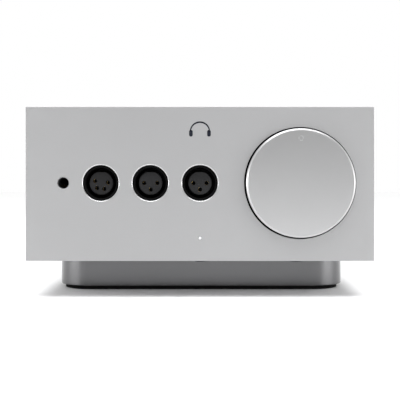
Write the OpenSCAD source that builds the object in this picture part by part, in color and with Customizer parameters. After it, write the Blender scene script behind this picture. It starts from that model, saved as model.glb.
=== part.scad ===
// Desktop headphone amplifier: aluminium case on a recessed plinth, one large volume knob,
// three round headphone sockets and a 6.35 mm jack in front, and the audio and mains connections behind.
// X runs to the right as seen from the front, Y from front to back, Z up. The origin is the middle of the
// whole object's footprint, on the surface that it stands on. Every size is in millimetres.

/* [Case] */
// Width of the case
case_w = 220; // [218:1:232]
// Height of the case above the plinth
case_h = 97.3; // [96:0.1:104]
// Depth of the case, from the front panel's face to the rear panel's face
case_d = 338; // [334:1:350]
// Thickness of the front panel
front_t = 10; // [10:0.5:11]
// Thickness of the wraparound cover
cover_t = 3; // [2.5:0.5:3]
// Thickness of the floor tray
tray_t = 3; // [2.5:0.5:3]
// Number of cooling slots in each side of the cover
vent_count = 28; // [20:1:28]

/* [Plinth] */
// Width of the plinth
plinth_w = 199; // [190:1:204]
// Height of the plinth's aluminium body
plinth_h = 21.5; // [19:0.5:24]
// Distance from the front panel's face back to the plinth
plinth_setback = 46; // [42:1:50]
// Distance from the rear panel's face forward to the plinth
plinth_rear_setback = 46; // [40:1:60]
// Radius of the plinth's upright corners
plinth_corner_r = 24; // [18:1:28]
// Height of the rubber ring that the plinth stands on
foot_h = 2.7; // [2:0.1:4]

/* [Volume knob] */
// Radius of the knob
knob_r = 34.2; // [30:0.1:34.3]
// How far the knob stands out of the front panel
knob_proud = 6; // [5.5:0.5:10]
// Distance of the knob's axis to the right of the middle
knob_x = 63.2; // [60:0.1:68]
// Radius of the round pocket that the knob sits in
pocket_r = 35.3; // [35.1:0.1:36.5]
// Angle that the knob turns to each side of straight up
knob_turn = 150; // [120:5:150]

/* [Headphone sockets] */
// Distance between the middles of neighbouring round sockets
socket_pitch = 31.3; // [29:0.1:32]
// Radius of the round sockets' holes in the front panel
socket_hole_r = 11.25; // [11.15:0.05:11.5]
// Height of the knob and of the row of sockets above the middle of the front
axis_rise = 0.5; // [0:0.1:1]
// Distance of the jack socket to the left of the middle
jack_offset = 86.3; // [84:0.1:90]
// Radius of the jack socket's bore
jack_bore_r = 3.2; // [3.18:0.01:3.25]

/* [Rear connectors] */
// How far the phono sockets stand out behind the rear panel
phono_proud = 10; // [9:0.5:12]
// Distance between the two phono sockets of a pair
phono_pitch = 20; // [18:1:22]

/* [Hidden] */
$fn = 64;

// Case planes
overall_d = knob_proud + case_d + phono_proud;
face_y = knob_proud - overall_d / 2;
back_y = face_y + case_d;
panel_back_y = face_y + front_t;
case_z = foot_h + plinth_h;
top_z = case_z + case_h;
axis_z = case_z + case_h / 2 + axis_rise;
tray_z = case_z + tray_t;
inner_x = case_w / 2 - cover_t;
inner_top_z = top_z - cover_t;
fit_gap = 0.3;
rear_t = 3;
rear_inner_y = back_y - rear_t;
through = 1;

// Screws: a metric thread is modelled as a plain shank
m3_r = 1.5;
m3_hole_r = 1.6;
m4_r = 2;
m4_hole_r = 2.1;

// Front bracket, the steel plate behind the front panel
bracket_t = 2;
bracket_back_y = panel_back_y + bracket_t;
bracket_margin = 3;
bracket_foot = 8;
bracket_screw_xs = [-92, -16, 24, 92];
bracket_screw_inset = 9;

// Round sockets: outwards is +Z in a socket's own frame
shell_depth = 24;
shell_recess = 0.4;
shell_wall = 2;
shell_r = socket_hole_r - 0.1;
shell_bore_r = 9.6;
insert_r = 7.5;
insert_recess = 3;
insert_flat_y = 6.9;
contact_ring_r = 4.2;
contact_hole_r = 1.5;
contact_bore_r = 1.2;
contact_recess = 1.5;
tail_r = 0.5;
tail_l = 3;
flange_w = 26;
flange_h = 31;
flange_corner_r = 3;
flange_t = 1.5;
flange_screw_x = 9.5;
flange_screw_y = 12;
socket_xs = [-2 * socket_pitch, -socket_pitch, 0];
three_pin_angles = [180, 0, 270];
four_pin_tilt = 7;
four_pin_angles = [for (step = [-1.5 : 1 : 1.5]) 270 - four_pin_tilt + 67 * step];

// Jack socket
jack_hole_r = 3.65;
jack_nose_r = 6;
jack_lip = 2;
jack_body_w = 17;
jack_body_d = 34;
jack_cavity_r = 4.6;
jack_body_z = -front_t - bracket_t;

// Status light
light_r = 0.9;
light_z = axis_z - 34.7;

// Knob and potentiometer
pocket_d = 3;
pocket_gap = 0.6;
knob_front_y = face_y - knob_proud;
knob_back_y = face_y + pocket_d - pocket_gap;
knob_chamfer = 1.2;
hub_r = 6.5;
hub_d = 2.4;
hub_hole_r = 8;
shaft_r = 3;
shaft_gap = 0.05;
shaft_front_y = face_y - 4.2;
dimple_r = 1.4;
dimple_d = 0.3;
dimple_ring_r = 28;
set_screw_y = face_y - 2;
set_screw_hole_r = 1.6;
set_screw_l = 6;
bushing_r = 4.5;
bushing_front_y = face_y + 6.6;
pot_w = 26;
pot_h = 24;
pot_d = 20;
pot_nut_t = 2.2;
pot_nut_r = 6.9;

// Push buttons under the case, behind the front panel's lower edge
button_xs = [0, knob_x];
button_y = face_y + 29;
button_r = 5;
button_drop = 3.3;
button_dome_h = 1.2;
button_flange_r = 6.5;
button_flange_t = 1.4;
button_pin_r = 1.6;
button_pin_l = 1.6;
button_lift = 0.3;
button_hole_r = 5.3;
switch_gap = 1.2;
switch_w = 12;
switch_h = 3.5;
button_flange_top = tray_z + button_lift + button_flange_t;
button_board_z = button_flange_top + switch_gap + switch_h;
board_t = 1.6;

// Cover, rails and vents
vent_pitch = 7.5;
vent_w = 3;
vent_h = 44;
vent_first_y = face_y + 78;
rail_w = 8;
rail_h = 10;
tray_screw_x = inner_x - rail_w / 2;
tray_screw_ys = [for (i = [0 : 4]) face_y + 22 + i * (case_d - 44) / 4];
lug_x = 70;
lug_size = [10, 10, 8];
rear_screw_top_z = inner_top_z - lug_size[2] / 2;
tray_flange_h = 10;
tray_flange_t = 1.5;
rear_screw_low_z = tray_z + tray_flange_h / 2;
rear_screw_low_xs = [-92, 0, 92];

// Plinth
plinth_y0 = face_y + plinth_setback;
plinth_y1 = back_y - plinth_rear_setback;
plinth_d = plinth_y1 - plinth_y0;
plinth_mid_y = (plinth_y0 + plinth_y1) / 2;
plinth_wall = 4;
plinth_floor = 3;
boss_r = 6;
screw_recess_r = 4;
screw_recess_d = 2.8;
boss_x = 72;
boss_ys = [plinth_mid_y - 96, plinth_mid_y, plinth_mid_y + 96];
foot_inset = 3;
foot_w = 14;

// Electronics
standoff_h = 8;
board_z = tray_z + standoff_h;
main_board_size = [156, 108];
main_board_corner = [-78, face_y + 72];
supply_board_size = [90, 96];
supply_board_corner = [-96, face_y + 200];
reservoir_r = 13;
reservoir_h = 45;
sink_y0 = face_y + 78;
sink_l = 110;
sink_inner_x = 84;
sink_base_t = 4;
sink_outer_x = 103;
sink_z = tray_z + rail_h;
sink_h = 68;
fin_t = 2;
transformer_pos = [50, face_y + 246];
transformer_r = 46;
transformer_hole_r = 15;
transformer_h = 42;
pad_t = 2.5;
bolt_r = 3;
washer_t = 2;
washer_r = 38;
washer_z = tray_z + 2 * pad_t + transformer_h;

// Rear panel layout, as x and z of each connector's middle
input_z = axis_z + 15;
input_xs = [-30, -68];
phono_z = case_z + 28;
phono_xs = [-24, -24 - phono_pitch, -68, -68 - phono_pitch];
link_xs = [8, 32];
mains_x = 80;
inlet_z = case_z + 36;
switch_z = case_z + 76;
input_board_y = back_y - shell_depth - 2;

// Phono sockets
phono_r = 4.15;
phono_bore_r = 1.6;
phono_body_r = 6.5;
phono_ring_t = 1.5;
phono_inner_r = 3.3;
phono_hole_r = 5;
phono_inside = 20;

// Link sockets
link_w = 16;
link_h = 14;
link_d = 20;
link_open_w = 11.8;
link_open_h = 7;
link_open_d = 13;

// Mains inlet, fuse drawer and rocker switch
inlet_w = 31;
inlet_h = 40;
inlet_flange_t = 2.5;
inlet_body_w = 27.5;
inlet_body_h = 36;
inlet_body_d = 20;
inlet_open_w = 24.4;
inlet_open_h = 16.6;
inlet_open_y = 6.5;
inlet_open_d = 16;
blade_w = 2;
blade_h = 4;
blade_spacing = 7;
blade_recess = 4;
drawer_y = -12;
drawer_w = 21.6;
drawer_h = 8;
drawer_d = 15;
drawer_gap = 0.2;
drawer_lip = 1.2;
fuse_r = 2.6;
fuse_l = 20;
rocker_bezel_w = 15;
rocker_bezel_h = 21;
rocker_bezel_t = 1.8;
rocker_body_w = 13;
rocker_body_h = 19;
rocker_body_d = 16;
rocker_open_w = 11.4;
rocker_open_h = 17.4;
rocker_open_d = 11;
rocker_w = 11;
rocker_half_h = 7.2;
rocker_pivot = -2;
rocker_pivot_r = 1.2;
rocker_tilt = 12;

// Latch of an input socket: a push tab above the socket's mouth
latch_w = 8;
latch_h = 3.2;
latch_y = 13.1;
latch_l = 10;
latch_proud = 2.2;
latch_gap = 0.2;
latch_slot_low = latch_y - latch_h / 2 - latch_gap;

// ---- Helpers ----

// A cylinder along Y, from one Y to another
module rod_y(r, from, to) {
    translate([0, from, 0]) rotate([-90, 0, 0]) cylinder(r = r, h = to - from);
}

// A cylinder along Z, from one Z to another
module rod_z(r, from, to) {
    translate([0, 0, from]) cylinder(r = r, h = to - from);
}

// Places children at an X and Z
module at(x, z) {
    translate([x, 0, z]) children();
}

// Extrudes an outline drawn in X and Z along Y
module extrude_y(from, to) {
    translate([0, to, 0]) rotate([90, 0, 0]) linear_extrude(height = to - from) children();
}

// Places a part drawn with +Z outwards on the front panel's face
module on_front(x, z) {
    translate([x, face_y, z]) rotate([90, 0, 0]) children();
}

// Places a part drawn with +Z outwards on the rear panel's face
module on_rear(x, z) {
    translate([x, back_y, z]) rotate([90, 0, 180]) children();
}

module rounded_rect(w, d, r) {
    square([w - 2 * r, d], center = true);
    square([w, d - 2 * r], center = true);
    for (x = [-1, 1], y = [-1, 1])
        translate([x * (w / 2 - r), y * (d / 2 - r)]) circle(r = r);
}

// A round-headed screw with a hexagon socket: its head is above Z = 0 and its shank below
module cap_screw(shank_r, shank_l, head_r, head_h) {
    difference() {
        union() {
            cylinder(r = head_r, h = head_h);
            translate([0, 0, -shank_l]) cylinder(r = shank_r, h = shank_l);
        }
        translate([0, 0, head_h * 0.35]) cylinder(r = shank_r * 0.75, h = head_h, $fn = 6);
    }
}

// A countersunk screw: its flat head is flush with Z = 0 and its shank below
module flat_screw(shank_r, shank_l, head_r) {
    difference() {
        union() {
            translate([0, 0, shank_r - head_r]) cylinder(r1 = shank_r, r2 = head_r, h = head_r - shank_r);
            translate([0, 0, -shank_l]) cylinder(r = shank_r, h = shank_l);
        }
        translate([0, 0, -1]) cylinder(r = shank_r * 0.7, h = 2, $fn = 6);
    }
}

// A flat circuit board with mounting holes near its corners
module flat_board(corner, size, z, inset = 5) {
    difference() {
        translate([corner[0], corner[1], z]) cube([size[0], size[1], board_t]);
        board_corners(corner, size, inset)
            translate([0, 0, z - through]) cylinder(r = m3_hole_r, h = board_t + 2 * through);
    }
}

module board_corners(corner, size, inset = 5) {
    for (x = [inset, size[0] - inset], y = [inset, size[1] - inset])
        translate([corner[0] + x, corner[1] + y, 0]) children();
}

// ---- Case ----

module front_panel() {
    color("silver") difference() {
        translate([-case_w / 2, face_y, case_z]) cube([case_w, front_t, case_h]);
        at(knob_x, axis_z) {
            rod_y(pocket_r, face_y - through, face_y + pocket_d);
            rod_y(hub_hole_r, face_y, panel_back_y + through);
        }
        for (x = socket_xs)
            at(x, axis_z) rod_y(socket_hole_r, face_y - through, panel_back_y + through);
        at(-jack_offset, axis_z) {
            rod_y(jack_hole_r, face_y - through, panel_back_y);
            rod_y(jack_nose_r + 0.1, face_y + jack_lip, panel_back_y + through);
        }
        at(0, light_z) rod_y(light_r + 0.05, face_y - through, panel_back_y + through);
        bracket_screw_places() rod_y(m3_hole_r, panel_back_y - 6, panel_back_y + through);
    }
}

module bracket_screw_places() {
    for (x = bracket_screw_xs, z = [case_z + bracket_screw_inset, top_z - bracket_screw_inset])
        at(x, z) children();
}

module vent_outline() {
    square([vent_w, vent_h - vent_w], center = true);
    for (side = [-1, 1])
        translate([0, side * (vent_h - vent_w) / 2]) circle(r = vent_w / 2);
}

module vents(side) {
    for (i = [0 : vent_count - 1])
        translate([side * (inner_x - through), vent_first_y + i * vent_pitch, axis_z])
            rotate([90, 0, side * 90]) linear_extrude(height = cover_t + 2 * through) vent_outline();
}

module cover() {
    color("silver") difference() {
        union() {
            extrude_y(panel_back_y, back_y) difference() {
                translate([-case_w / 2, case_z]) square([case_w, case_h]);
                translate([-inner_x, case_z - through]) square([2 * inner_x, case_h - cover_t + through]);
            }
            for (side = [-1, 1])
                translate([side * lug_x, rear_inner_y - lug_size[1], inner_top_z - lug_size[2]])
                    translate([-lug_size[0] / 2, 0, 0])
                        cube([lug_size[0], lug_size[1], lug_size[2] + through]);
        }
        vents(-1);
        vents(1);
        for (side = [-1, 1])
            at(side * lug_x, rear_screw_top_z)
                rod_y(m3_hole_r, rear_inner_y - lug_size[1] - through, back_y);
    }
}

module cover_rails() {
    color("gainsboro") for (side = [-1, 1]) difference() {
        translate([side * tray_screw_x - rail_w / 2, bracket_back_y, tray_z])
            cube([rail_w, rear_inner_y - bracket_back_y, rail_h]);
        for (y = tray_screw_ys)
            translate([side * tray_screw_x, y, tray_z - through]) cylinder(r = m3_hole_r, h = rail_h);
    }
}

module base_tray() {
    color("gainsboro") difference() {
        union() {
            translate([fit_gap - inner_x, panel_back_y, case_z])
                cube([2 * (inner_x - fit_gap), rear_inner_y - panel_back_y, tray_t]);
            translate([rail_w + fit_gap - inner_x, rear_inner_y - tray_flange_t, case_z])
                cube([2 * (inner_x - rail_w - fit_gap), tray_flange_t, tray_t + tray_flange_h]);
        }
        for (x = button_xs)
            translate([x, button_y, 0]) rod_z(button_hole_r, case_z - through, tray_z + through);
        for (x = [-boss_x, boss_x], y = boss_ys)
            translate([x, y, 0]) rod_z(m4_hole_r, case_z - through, tray_z + through);
        for (side = [-1, 1], y = tray_screw_ys)
            translate([side * tray_screw_x, y, 0]) {
                rod_z(m3_hole_r, case_z - through, tray_z + through);
                translate([0, 0, case_z - 0.1]) cylinder(r1 = 3.2, r2 = m3_hole_r, h = 1.6);
            }
        translate([transformer_pos[0], transformer_pos[1], 0])
            rod_z(bolt_r + 0.1, case_z - through, tray_z + through);
        for (x = rear_screw_low_xs)
            at(x, rear_screw_low_z) rod_y(m3_hole_r, rear_inner_y - 2 * tray_flange_t, back_y);
    }
}

module rear_panel() {
    color("gainsboro") difference() {
        translate([fit_gap - inner_x, rear_inner_y, case_z + fit_gap])
            cube([2 * (inner_x - fit_gap), rear_t, case_h - cover_t - 2 * fit_gap]);
        for (x = input_xs) {
            at(x, input_z) rod_y(shell_r + 0.1, rear_inner_y - through, back_y + through);
            on_rear(x, input_z) {
                flange_screw_places() rod_z(m3_hole_r, -rear_t - through, through);
                latch_slot(shell_bore_r, rear_t + through);
            }
        }
        for (x = phono_xs) at(x, phono_z) rod_y(phono_hole_r, rear_inner_y - through, back_y + through);
        for (x = link_xs)
            at(x, phono_z) extrude_y(rear_inner_y - through, back_y + through)
                square([link_w + 2 * fit_gap, link_h + 2 * fit_gap], center = true);
        at(mains_x, inlet_z) extrude_y(rear_inner_y - through, back_y + through)
            square([inlet_body_w + fit_gap, inlet_body_h + fit_gap], center = true);
        at(mains_x, switch_z) extrude_y(rear_inner_y - through, back_y + through)
            square([rocker_body_w + fit_gap, rocker_body_h + fit_gap], center = true);
        rear_screw_places() rod_y(m3_hole_r, rear_inner_y - through, back_y + through);
    }
}

module rear_screw_places() {
    for (side = [-1, 1]) at(side * lug_x, rear_screw_top_z) children();
    for (x = rear_screw_low_xs) at(x, rear_screw_low_z) children();
}

module rear_panel_screws() {
    color("dimgray") rear_screw_places()
        translate([0, back_y, 0]) rotate([-90, 0, 0]) cap_screw(m3_r, 8, 2.8, 1.7);
}

module tray_screws() {
    color("dimgray") for (side = [-1, 1], y = tray_screw_ys)
        translate([side * tray_screw_x, y, case_z]) rotate([180, 0, 0]) flat_screw(m3_r, 10, 3);
}

// ---- Plinth ----

module plinth_outline(inset) {
    translate([0, plinth_mid_y])
        rounded_rect(plinth_w - 2 * inset, plinth_d - 2 * inset, plinth_corner_r - inset);
}

module plinth() {
    color("silver") difference() {
        union() {
            difference() {
                translate([0, 0, foot_h]) linear_extrude(height = plinth_h) plinth_outline(0);
                translate([0, 0, foot_h + plinth_floor]) linear_extrude(height = plinth_h)
                    plinth_outline(plinth_wall);
            }
            for (x = [-boss_x, boss_x], y = boss_ys)
                translate([x, y, 0]) rod_z(boss_r, foot_h + plinth_floor - 1, case_z);
        }
        for (x = [-boss_x, boss_x], y = boss_ys)
            translate([x, y, 0]) {
                rod_z(m4_hole_r, foot_h - through, case_z + through);
                rod_z(screw_recess_r, foot_h - through, foot_h + screw_recess_d);
            }
    }
}

module foot_ring() {
    color("#111111") difference() {
        linear_extrude(height = foot_h) plinth_outline(foot_inset);
        translate([0, 0, -through]) linear_extrude(height = foot_h + 2 * through)
            plinth_outline(foot_inset + foot_w);
    }
}

module plinth_screws() {
    color("dimgray") for (x = [-boss_x, boss_x], y = boss_ys)
        translate([x, y, foot_h + screw_recess_d]) rotate([180, 0, 0]) cap_screw(m4_r, plinth_h, 3.6, 2.4);
}

// ---- Front bracket ----

module front_bracket() {
    bracket_x = inner_x - bracket_margin + 2.5;
    color("lightgray") difference() {
        union() {
            translate([-bracket_x, panel_back_y, tray_z])
                cube([2 * bracket_x, bracket_t, inner_top_z - tray_z - bracket_margin]);
            translate([bracket_margin - tray_screw_x + rail_w, panel_back_y, tray_z])
                cube([2 * (tray_screw_x - rail_w - bracket_margin), bracket_t + bracket_foot, bracket_t]);
        }
        for (x = socket_xs) at(x, axis_z) bracket_hole(socket_hole_r + 0.1);
        at(-jack_offset, axis_z) bracket_hole(jack_nose_r + 0.1);
        at(knob_x, axis_z) bracket_hole(bushing_r + 0.1);
        at(0, light_z) bracket_hole(light_r + 0.3);
        bracket_screw_places() bracket_hole(m3_hole_r);
    }
}

module bracket_hole(r) {
    rod_y(r, panel_back_y - through, bracket_back_y + through);
}

module front_bracket_screws() {
    color("dimgray") bracket_screw_places()
        translate([0, bracket_back_y, 0]) rotate([-90, 0, 0]) cap_screw(m3_r, 7, 2.6, 1.6);
}

// ---- Round sockets ----

module flange_screw_places() {
    for (side = [-1, 1]) translate([side * flange_screw_x, side * flange_screw_y, 0]) children();
}

module contact_places(angles) {
    for (a = angles) rotate(a) translate([contact_ring_r, 0, 0]) children();
}

// The socket's metal shell. Its mouth is at mouth_z and the flange's back face at flange_z.
module socket_shell(angles, mouth_z, flange_z) {
    color("#151515") difference() {
        union() {
            rod_z(shell_r, -shell_depth, mouth_z);
            translate([0, 0, flange_z]) linear_extrude(height = flange_t)
                rounded_rect(flange_w, flange_h, flange_corner_r);
        }
        rod_z(shell_bore_r, shell_wall - shell_depth, mouth_z + through);
        flange_screw_places() rod_z(m3_hole_r, flange_z - through, flange_z + flange_t + through);
        contact_places(angles)
            rod_z(tail_r + 0.1, -shell_depth - through, shell_wall - shell_depth + through);
    }
}

// The round insulator inside the shell, with one hole for each contact
module socket_insert(angles) {
    color("#303030") translate([0, 0, shell_wall - shell_depth]) difference() {
        union() {
            cylinder(r = shell_bore_r - 0.05, h = 2.5);
            cylinder(r = insert_r, h = shell_depth - shell_wall - insert_recess);
        }
        translate([-insert_r, insert_flat_y, 2.5]) cube([2 * insert_r, insert_r, shell_depth]);
        contact_places(angles) translate([0, 0, -through])
            cylinder(r = contact_hole_r + 0.05, h = shell_depth);
    }
}

// Spring sleeves that take the plug's pins, with solder tails behind
module contact_sleeves(angles) {
    sleeve_l = shell_depth - shell_wall - insert_recess - contact_recess;
    contact_places(angles) translate([0, 0, shell_wall - shell_depth]) difference() {
        union() {
            translate([0, 0, 0.1]) cylinder(r = contact_hole_r, h = sleeve_l);
            translate([0, 0, -shell_wall - tail_l]) cylinder(r = tail_r, h = shell_wall + tail_l + 1);
        }
        translate([0, 0, 4]) cylinder(r = contact_bore_r, h = sleeve_l);
    }
}

front_flange_z = -front_t - bracket_t - flange_t;

module four_pin_shell() {
    on_front(socket_xs[0], axis_z) socket_shell(four_pin_angles, -shell_recess, front_flange_z);
}

module four_pin_insert() {
    on_front(socket_xs[0], axis_z) socket_insert(four_pin_angles);
}

module left_socket_shell() {
    on_front(socket_xs[1], axis_z) socket_shell(three_pin_angles, -shell_recess, front_flange_z);
}

module left_socket_insert() {
    on_front(socket_xs[1], axis_z) socket_insert(three_pin_angles);
}

module right_socket_shell() {
    on_front(socket_xs[2], axis_z) socket_shell(three_pin_angles, -shell_recess, front_flange_z);
}

module right_socket_insert() {
    on_front(socket_xs[2], axis_z) socket_insert(three_pin_angles);
}

module socket_contacts() {
    color("gold") {
        on_front(socket_xs[0], axis_z) contact_sleeves(four_pin_angles);
        for (i = [1, 2]) on_front(socket_xs[i], axis_z) contact_sleeves(three_pin_angles);
        for (x = input_xs) on_rear(x, input_z) contact_sleeves(three_pin_angles);
    }
}

// ---- Jack socket ----

module jack_socket_body() {
    color("#101010") on_front(-jack_offset, axis_z) difference() {
        union() {
            rod_z(jack_nose_r, jack_body_z, -jack_lip);
            translate([-jack_body_w / 2, -jack_body_w / 2, jack_body_z - jack_body_d])
                cube([jack_body_w, jack_body_w, jack_body_d]);
        }
        rod_z(jack_bore_r, jack_body_z - through, through);
        rod_z(jack_cavity_r, jack_body_z - jack_body_d + 2, jack_body_z + 1);
    }
}

module jack_contacts() {
    leaf_t = 0.5;
    color("gold") on_front(-jack_offset, axis_z) for (i = [0 : 2])
        rotate(90 + 120 * i)
            translate([jack_cavity_r - leaf_t - 0.5, -1.2, jack_body_z - 12 - 8 * i]) cube([leaf_t, 2.4, 7]);
}

module status_light_pipe() {
    color("white") at(0, light_z) rod_y(light_r, face_y + 0.1, face_y + 15);
}

// ---- Volume knob ----

module volume_knob() {
    color("silver") difference() {
        at(knob_x, axis_z) union() {
            translate([0, knob_front_y, 0]) rotate([-90, 0, 0])
                cylinder(r1 = knob_r - knob_chamfer, r2 = knob_r, h = knob_chamfer);
            rod_y(knob_r, knob_front_y + knob_chamfer, knob_back_y);
            rod_y(hub_r, knob_back_y, knob_back_y + hub_d);
        }
        at(knob_x, axis_z) {
            rod_y(shaft_r + 0.02, shaft_front_y - 0.2, knob_back_y + hub_d + through);
            translate([0, set_screw_y, 0]) rod_z(set_screw_hole_r, -knob_r - through, 1 - shaft_r);
            translate([0, knob_front_y - through, dimple_ring_r]) rotate([-90, 0, 0])
                cylinder(r1 = dimple_r + through, r2 = dimple_r - dimple_d, h = dimple_d + through);
        }
    }
}

module knob_set_screw() {
    color("#222222") translate([knob_x, set_screw_y, axis_z - shaft_r - 0.1 - set_screw_l]) difference() {
        cylinder(r = m3_r, h = set_screw_l);
        translate([0, 0, -through]) cylinder(r = 0.9, h = through + 2, $fn = 6);
    }
}

module potentiometer_shaft() {
    color("lightgray") at(knob_x, axis_z) rod_y(shaft_r, shaft_front_y, bracket_back_y + 6);
}

module volume_potentiometer() {
    color("#3a4a3a") at(knob_x, axis_z) difference() {
        union() {
            extrude_y(bracket_back_y, bracket_back_y + pot_d) square([pot_w, pot_h], center = true);
            rod_y(bushing_r, bushing_front_y, bracket_back_y + through);
        }
        rod_y(shaft_r + shaft_gap, bushing_front_y - through, bracket_back_y + 6.5);
    }
}

module potentiometer_nut() {
    color("lightgray") at(knob_x, axis_z) difference() {
        translate([0, panel_back_y, 0]) rotate([90, 0, 0]) cylinder(r = pot_nut_r, h = pot_nut_t, $fn = 6);
        rod_y(bushing_r + 0.02, panel_back_y - pot_nut_t - through, panel_back_y + through);
    }
}

// ---- Push buttons and front boards ----

module push_button(x) {
    stem_top = button_flange_top - button_flange_t;
    tip_z = case_z - button_drop;
    color("#2a2a2a") translate([x, button_y, 0]) {
        translate([0, 0, tip_z]) rotate_extrude() polygon(concat(
            [[0, 0]],
            [for (a = [15 : 15 : 90]) [button_r * sin(a), button_dome_h * (1 - cos(a))]],
            [[button_r, stem_top - tip_z], [0, stem_top - tip_z]]
        ));
        translate([0, 0, stem_top]) cylinder(r = button_flange_r, h = button_flange_t);
        translate([0, 0, button_flange_top]) cylinder(r = button_pin_r, h = button_pin_l);
    }
}

module power_button() {
    push_button(button_xs[0]);
}

module function_button() {
    push_button(button_xs[1]);
}

module button_switches() {
    color("#1d1d1d") for (x = button_xs) difference() {
        translate([x - switch_w / 2, button_y - switch_w / 2, button_board_z - switch_h])
            cube([switch_w, switch_w, switch_h]);
        translate([x, button_y, button_board_z - switch_h - through])
            cylinder(r = button_pin_r + 0.3, h = through + 2.2);
    }
}

button_board_corner = [-14, bracket_back_y + 3];
button_board_size = [knob_x + 28, 27];

module button_board() {
    color("darkgreen") flat_board(button_board_corner, button_board_size, button_board_z, 3);
    color("white") translate([-2, bracket_back_y + 4, button_board_z + board_t - 0.01]) cube([4, 5, 5.5]);
}

module output_board() {
    board_y = face_y + shell_depth + 0.5;
    x0 = socket_xs[0] - 12;
    color("darkgreen") difference() {
        translate([x0, board_y, axis_z - 23]) cube([12 - x0, board_t, 46]);
        for (i = [0 : 2])
            on_front(socket_xs[i], axis_z) contact_places(i == 0 ? four_pin_angles : three_pin_angles)
                translate([0, 0, -shell_depth - 4]) cylinder(r = tail_r + 0.2, h = 5);
    }
}

// ---- Electronics ----

module main_board() {
    color("darkgreen") flat_board(main_board_corner, main_board_size, board_z);
}

module relays() {
    color("#e8e8e0") for (i = [0 : 3])
        translate([-52 + i * 28, main_board_corner[1] + 12, board_z + board_t]) cube([20, 10, 15]);
}

module film_capacitors() {
    color("firebrick") for (i = [0 : 5], j = [0 : 1])
        translate([-60 + i * 21, main_board_corner[1] + 46 + j * 30, board_z + board_t]) cube([14, 8, 16]);
}

module supply_board() {
    color("darkgreen") flat_board(supply_board_corner, supply_board_size, board_z);
}

module reservoir_capacitors() {
    color("#20242c") for (i = [0 : 2], j = [0 : 1])
        translate([supply_board_corner[0] + 17 + i * 28, supply_board_corner[1] + 26 + j * 32, 0])
            rod_z(reservoir_r, board_z + board_t, board_z + board_t + reservoir_h);
}

// Outline of a finned heat sink seen from above, on the right-hand side
module sink_outline() {
    gap = vent_pitch - fin_t;
    fins = floor(sink_l / vent_pitch);
    base_x = sink_inner_x + sink_base_t;
    polygon(concat(
        [[sink_inner_x, 0], [base_x, 0]],
        [for (i = [0 : fins - 1], p = [[base_x, gap / 2], [sink_outer_x, gap / 2],
            [sink_outer_x, gap / 2 + fin_t], [base_x, gap / 2 + fin_t]]) [p[0], p[1] + i * vent_pitch]],
        [[base_x, fins * vent_pitch], [sink_inner_x, fins * vent_pitch]]
    ));
}

module heat_sink(side) {
    color("#2b2b2b") mirror([side < 0 ? 1 : 0, 0, 0])
        translate([0, sink_y0, sink_z]) linear_extrude(height = sink_h) sink_outline();
}

module left_heat_sink() {
    heat_sink(-1);
}

module right_heat_sink() {
    heat_sink(1);
}

module output_transistors() {
    color("#101010") for (side = [-1, 1], i = [0 : 3]) mirror([side < 0 ? 1 : 0, 0, 0])
        translate([sink_inner_x - 5, sink_y0 + 8 + i * 25, board_z + 14]) cube([4.9, 16, 21]);
}

module board_standoffs() {
    color("gold") {
        board_corners(main_board_corner, main_board_size)
            translate([0, 0, tray_z]) cylinder(r = 3, h = standoff_h, $fn = 6);
        board_corners(supply_board_corner, supply_board_size)
            translate([0, 0, tray_z]) cylinder(r = 3, h = standoff_h, $fn = 6);
        for (x = [3, button_board_size[0] - 3])
            translate([button_board_corner[0] + x, button_board_corner[1], 0]) {
                translate([0, 2.5, tray_z + bracket_t])
                    cylinder(r = 2.2, h = button_board_z - tray_z - bracket_t, $fn = 6);
                translate([0, button_board_size[1] - 3, tray_z])
                    cylinder(r = 2.2, h = button_board_z - tray_z, $fn = 6);
            }
    }
}

module transformer() {
    z0 = tray_z + pad_t;
    color("goldenrod") translate([transformer_pos[0], transformer_pos[1], z0]) rotate_extrude() {
        translate([(transformer_hole_r + transformer_r) / 2, transformer_h / 2])
            rounded_rect(transformer_r - transformer_hole_r, transformer_h, 8);
    }
}

module transformer_pads() {
    color("#181818") for (z = [tray_z, tray_z + pad_t + transformer_h])
        translate([transformer_pos[0], transformer_pos[1], z]) difference() {
            cylinder(r = washer_r, h = pad_t);
            rod_z(bolt_r + 1, -through, pad_t + through);
        }
}

module transformer_washer() {
    color("lightgray") translate([transformer_pos[0], transformer_pos[1], washer_z]) difference() {
        cylinder(r = washer_r, h = washer_t);
        rod_z(bolt_r + 0.2, -through, washer_t + through);
    }
}

module transformer_bolt() {
    clamp_z = washer_z + washer_t;
    color("lightgray") translate([transformer_pos[0], transformer_pos[1], 0]) {
        translate([0, 0, case_z - 4]) cylinder(r = 5.5, h = 4, $fn = 6);
        rod_z(bolt_r, case_z - 1, clamp_z + 8);
        translate([0, 0, clamp_z]) cylinder(r = 5.5, h = 5, $fn = 6);
    }
}

// ---- Rear connectors ----

module input_board() {
    x0 = -97;
    color("darkgreen") difference() {
        translate([x0, input_board_y, tray_z + 5]) cube([link_xs[1] + 12 - x0, board_t, 80]);
        for (x = input_xs)
            on_rear(x, input_z) contact_places(three_pin_angles)
                translate([0, 0, -shell_depth - 5]) cylinder(r = tail_r + 0.2, h = 6);
    }
}

module input_shells() {
    for (x = input_xs) on_rear(x, input_z) difference() {
        socket_shell(three_pin_angles, flange_t, 0);
        latch_slot(latch_slot_low, flange_t + through);
    }
}

module input_inserts() {
    for (x = input_xs) on_rear(x, input_z) socket_insert(three_pin_angles);
}

// The slot that the latch slides in, through the flange and the panel
module latch_slot(low, depth) {
    high = latch_y + latch_h / 2 + latch_gap;
    translate([-latch_w / 2 - latch_gap, low, -depth])
        cube([latch_w + 2 * latch_gap, high - low, depth + flange_t + through]);
}

module input_latch(x) {
    color("#c8c8c8") on_rear(x, input_z)
        translate([-latch_w / 2, latch_y - latch_h / 2, flange_t + latch_proud - latch_l])
            cube([latch_w, latch_h, latch_l]);
}

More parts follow.
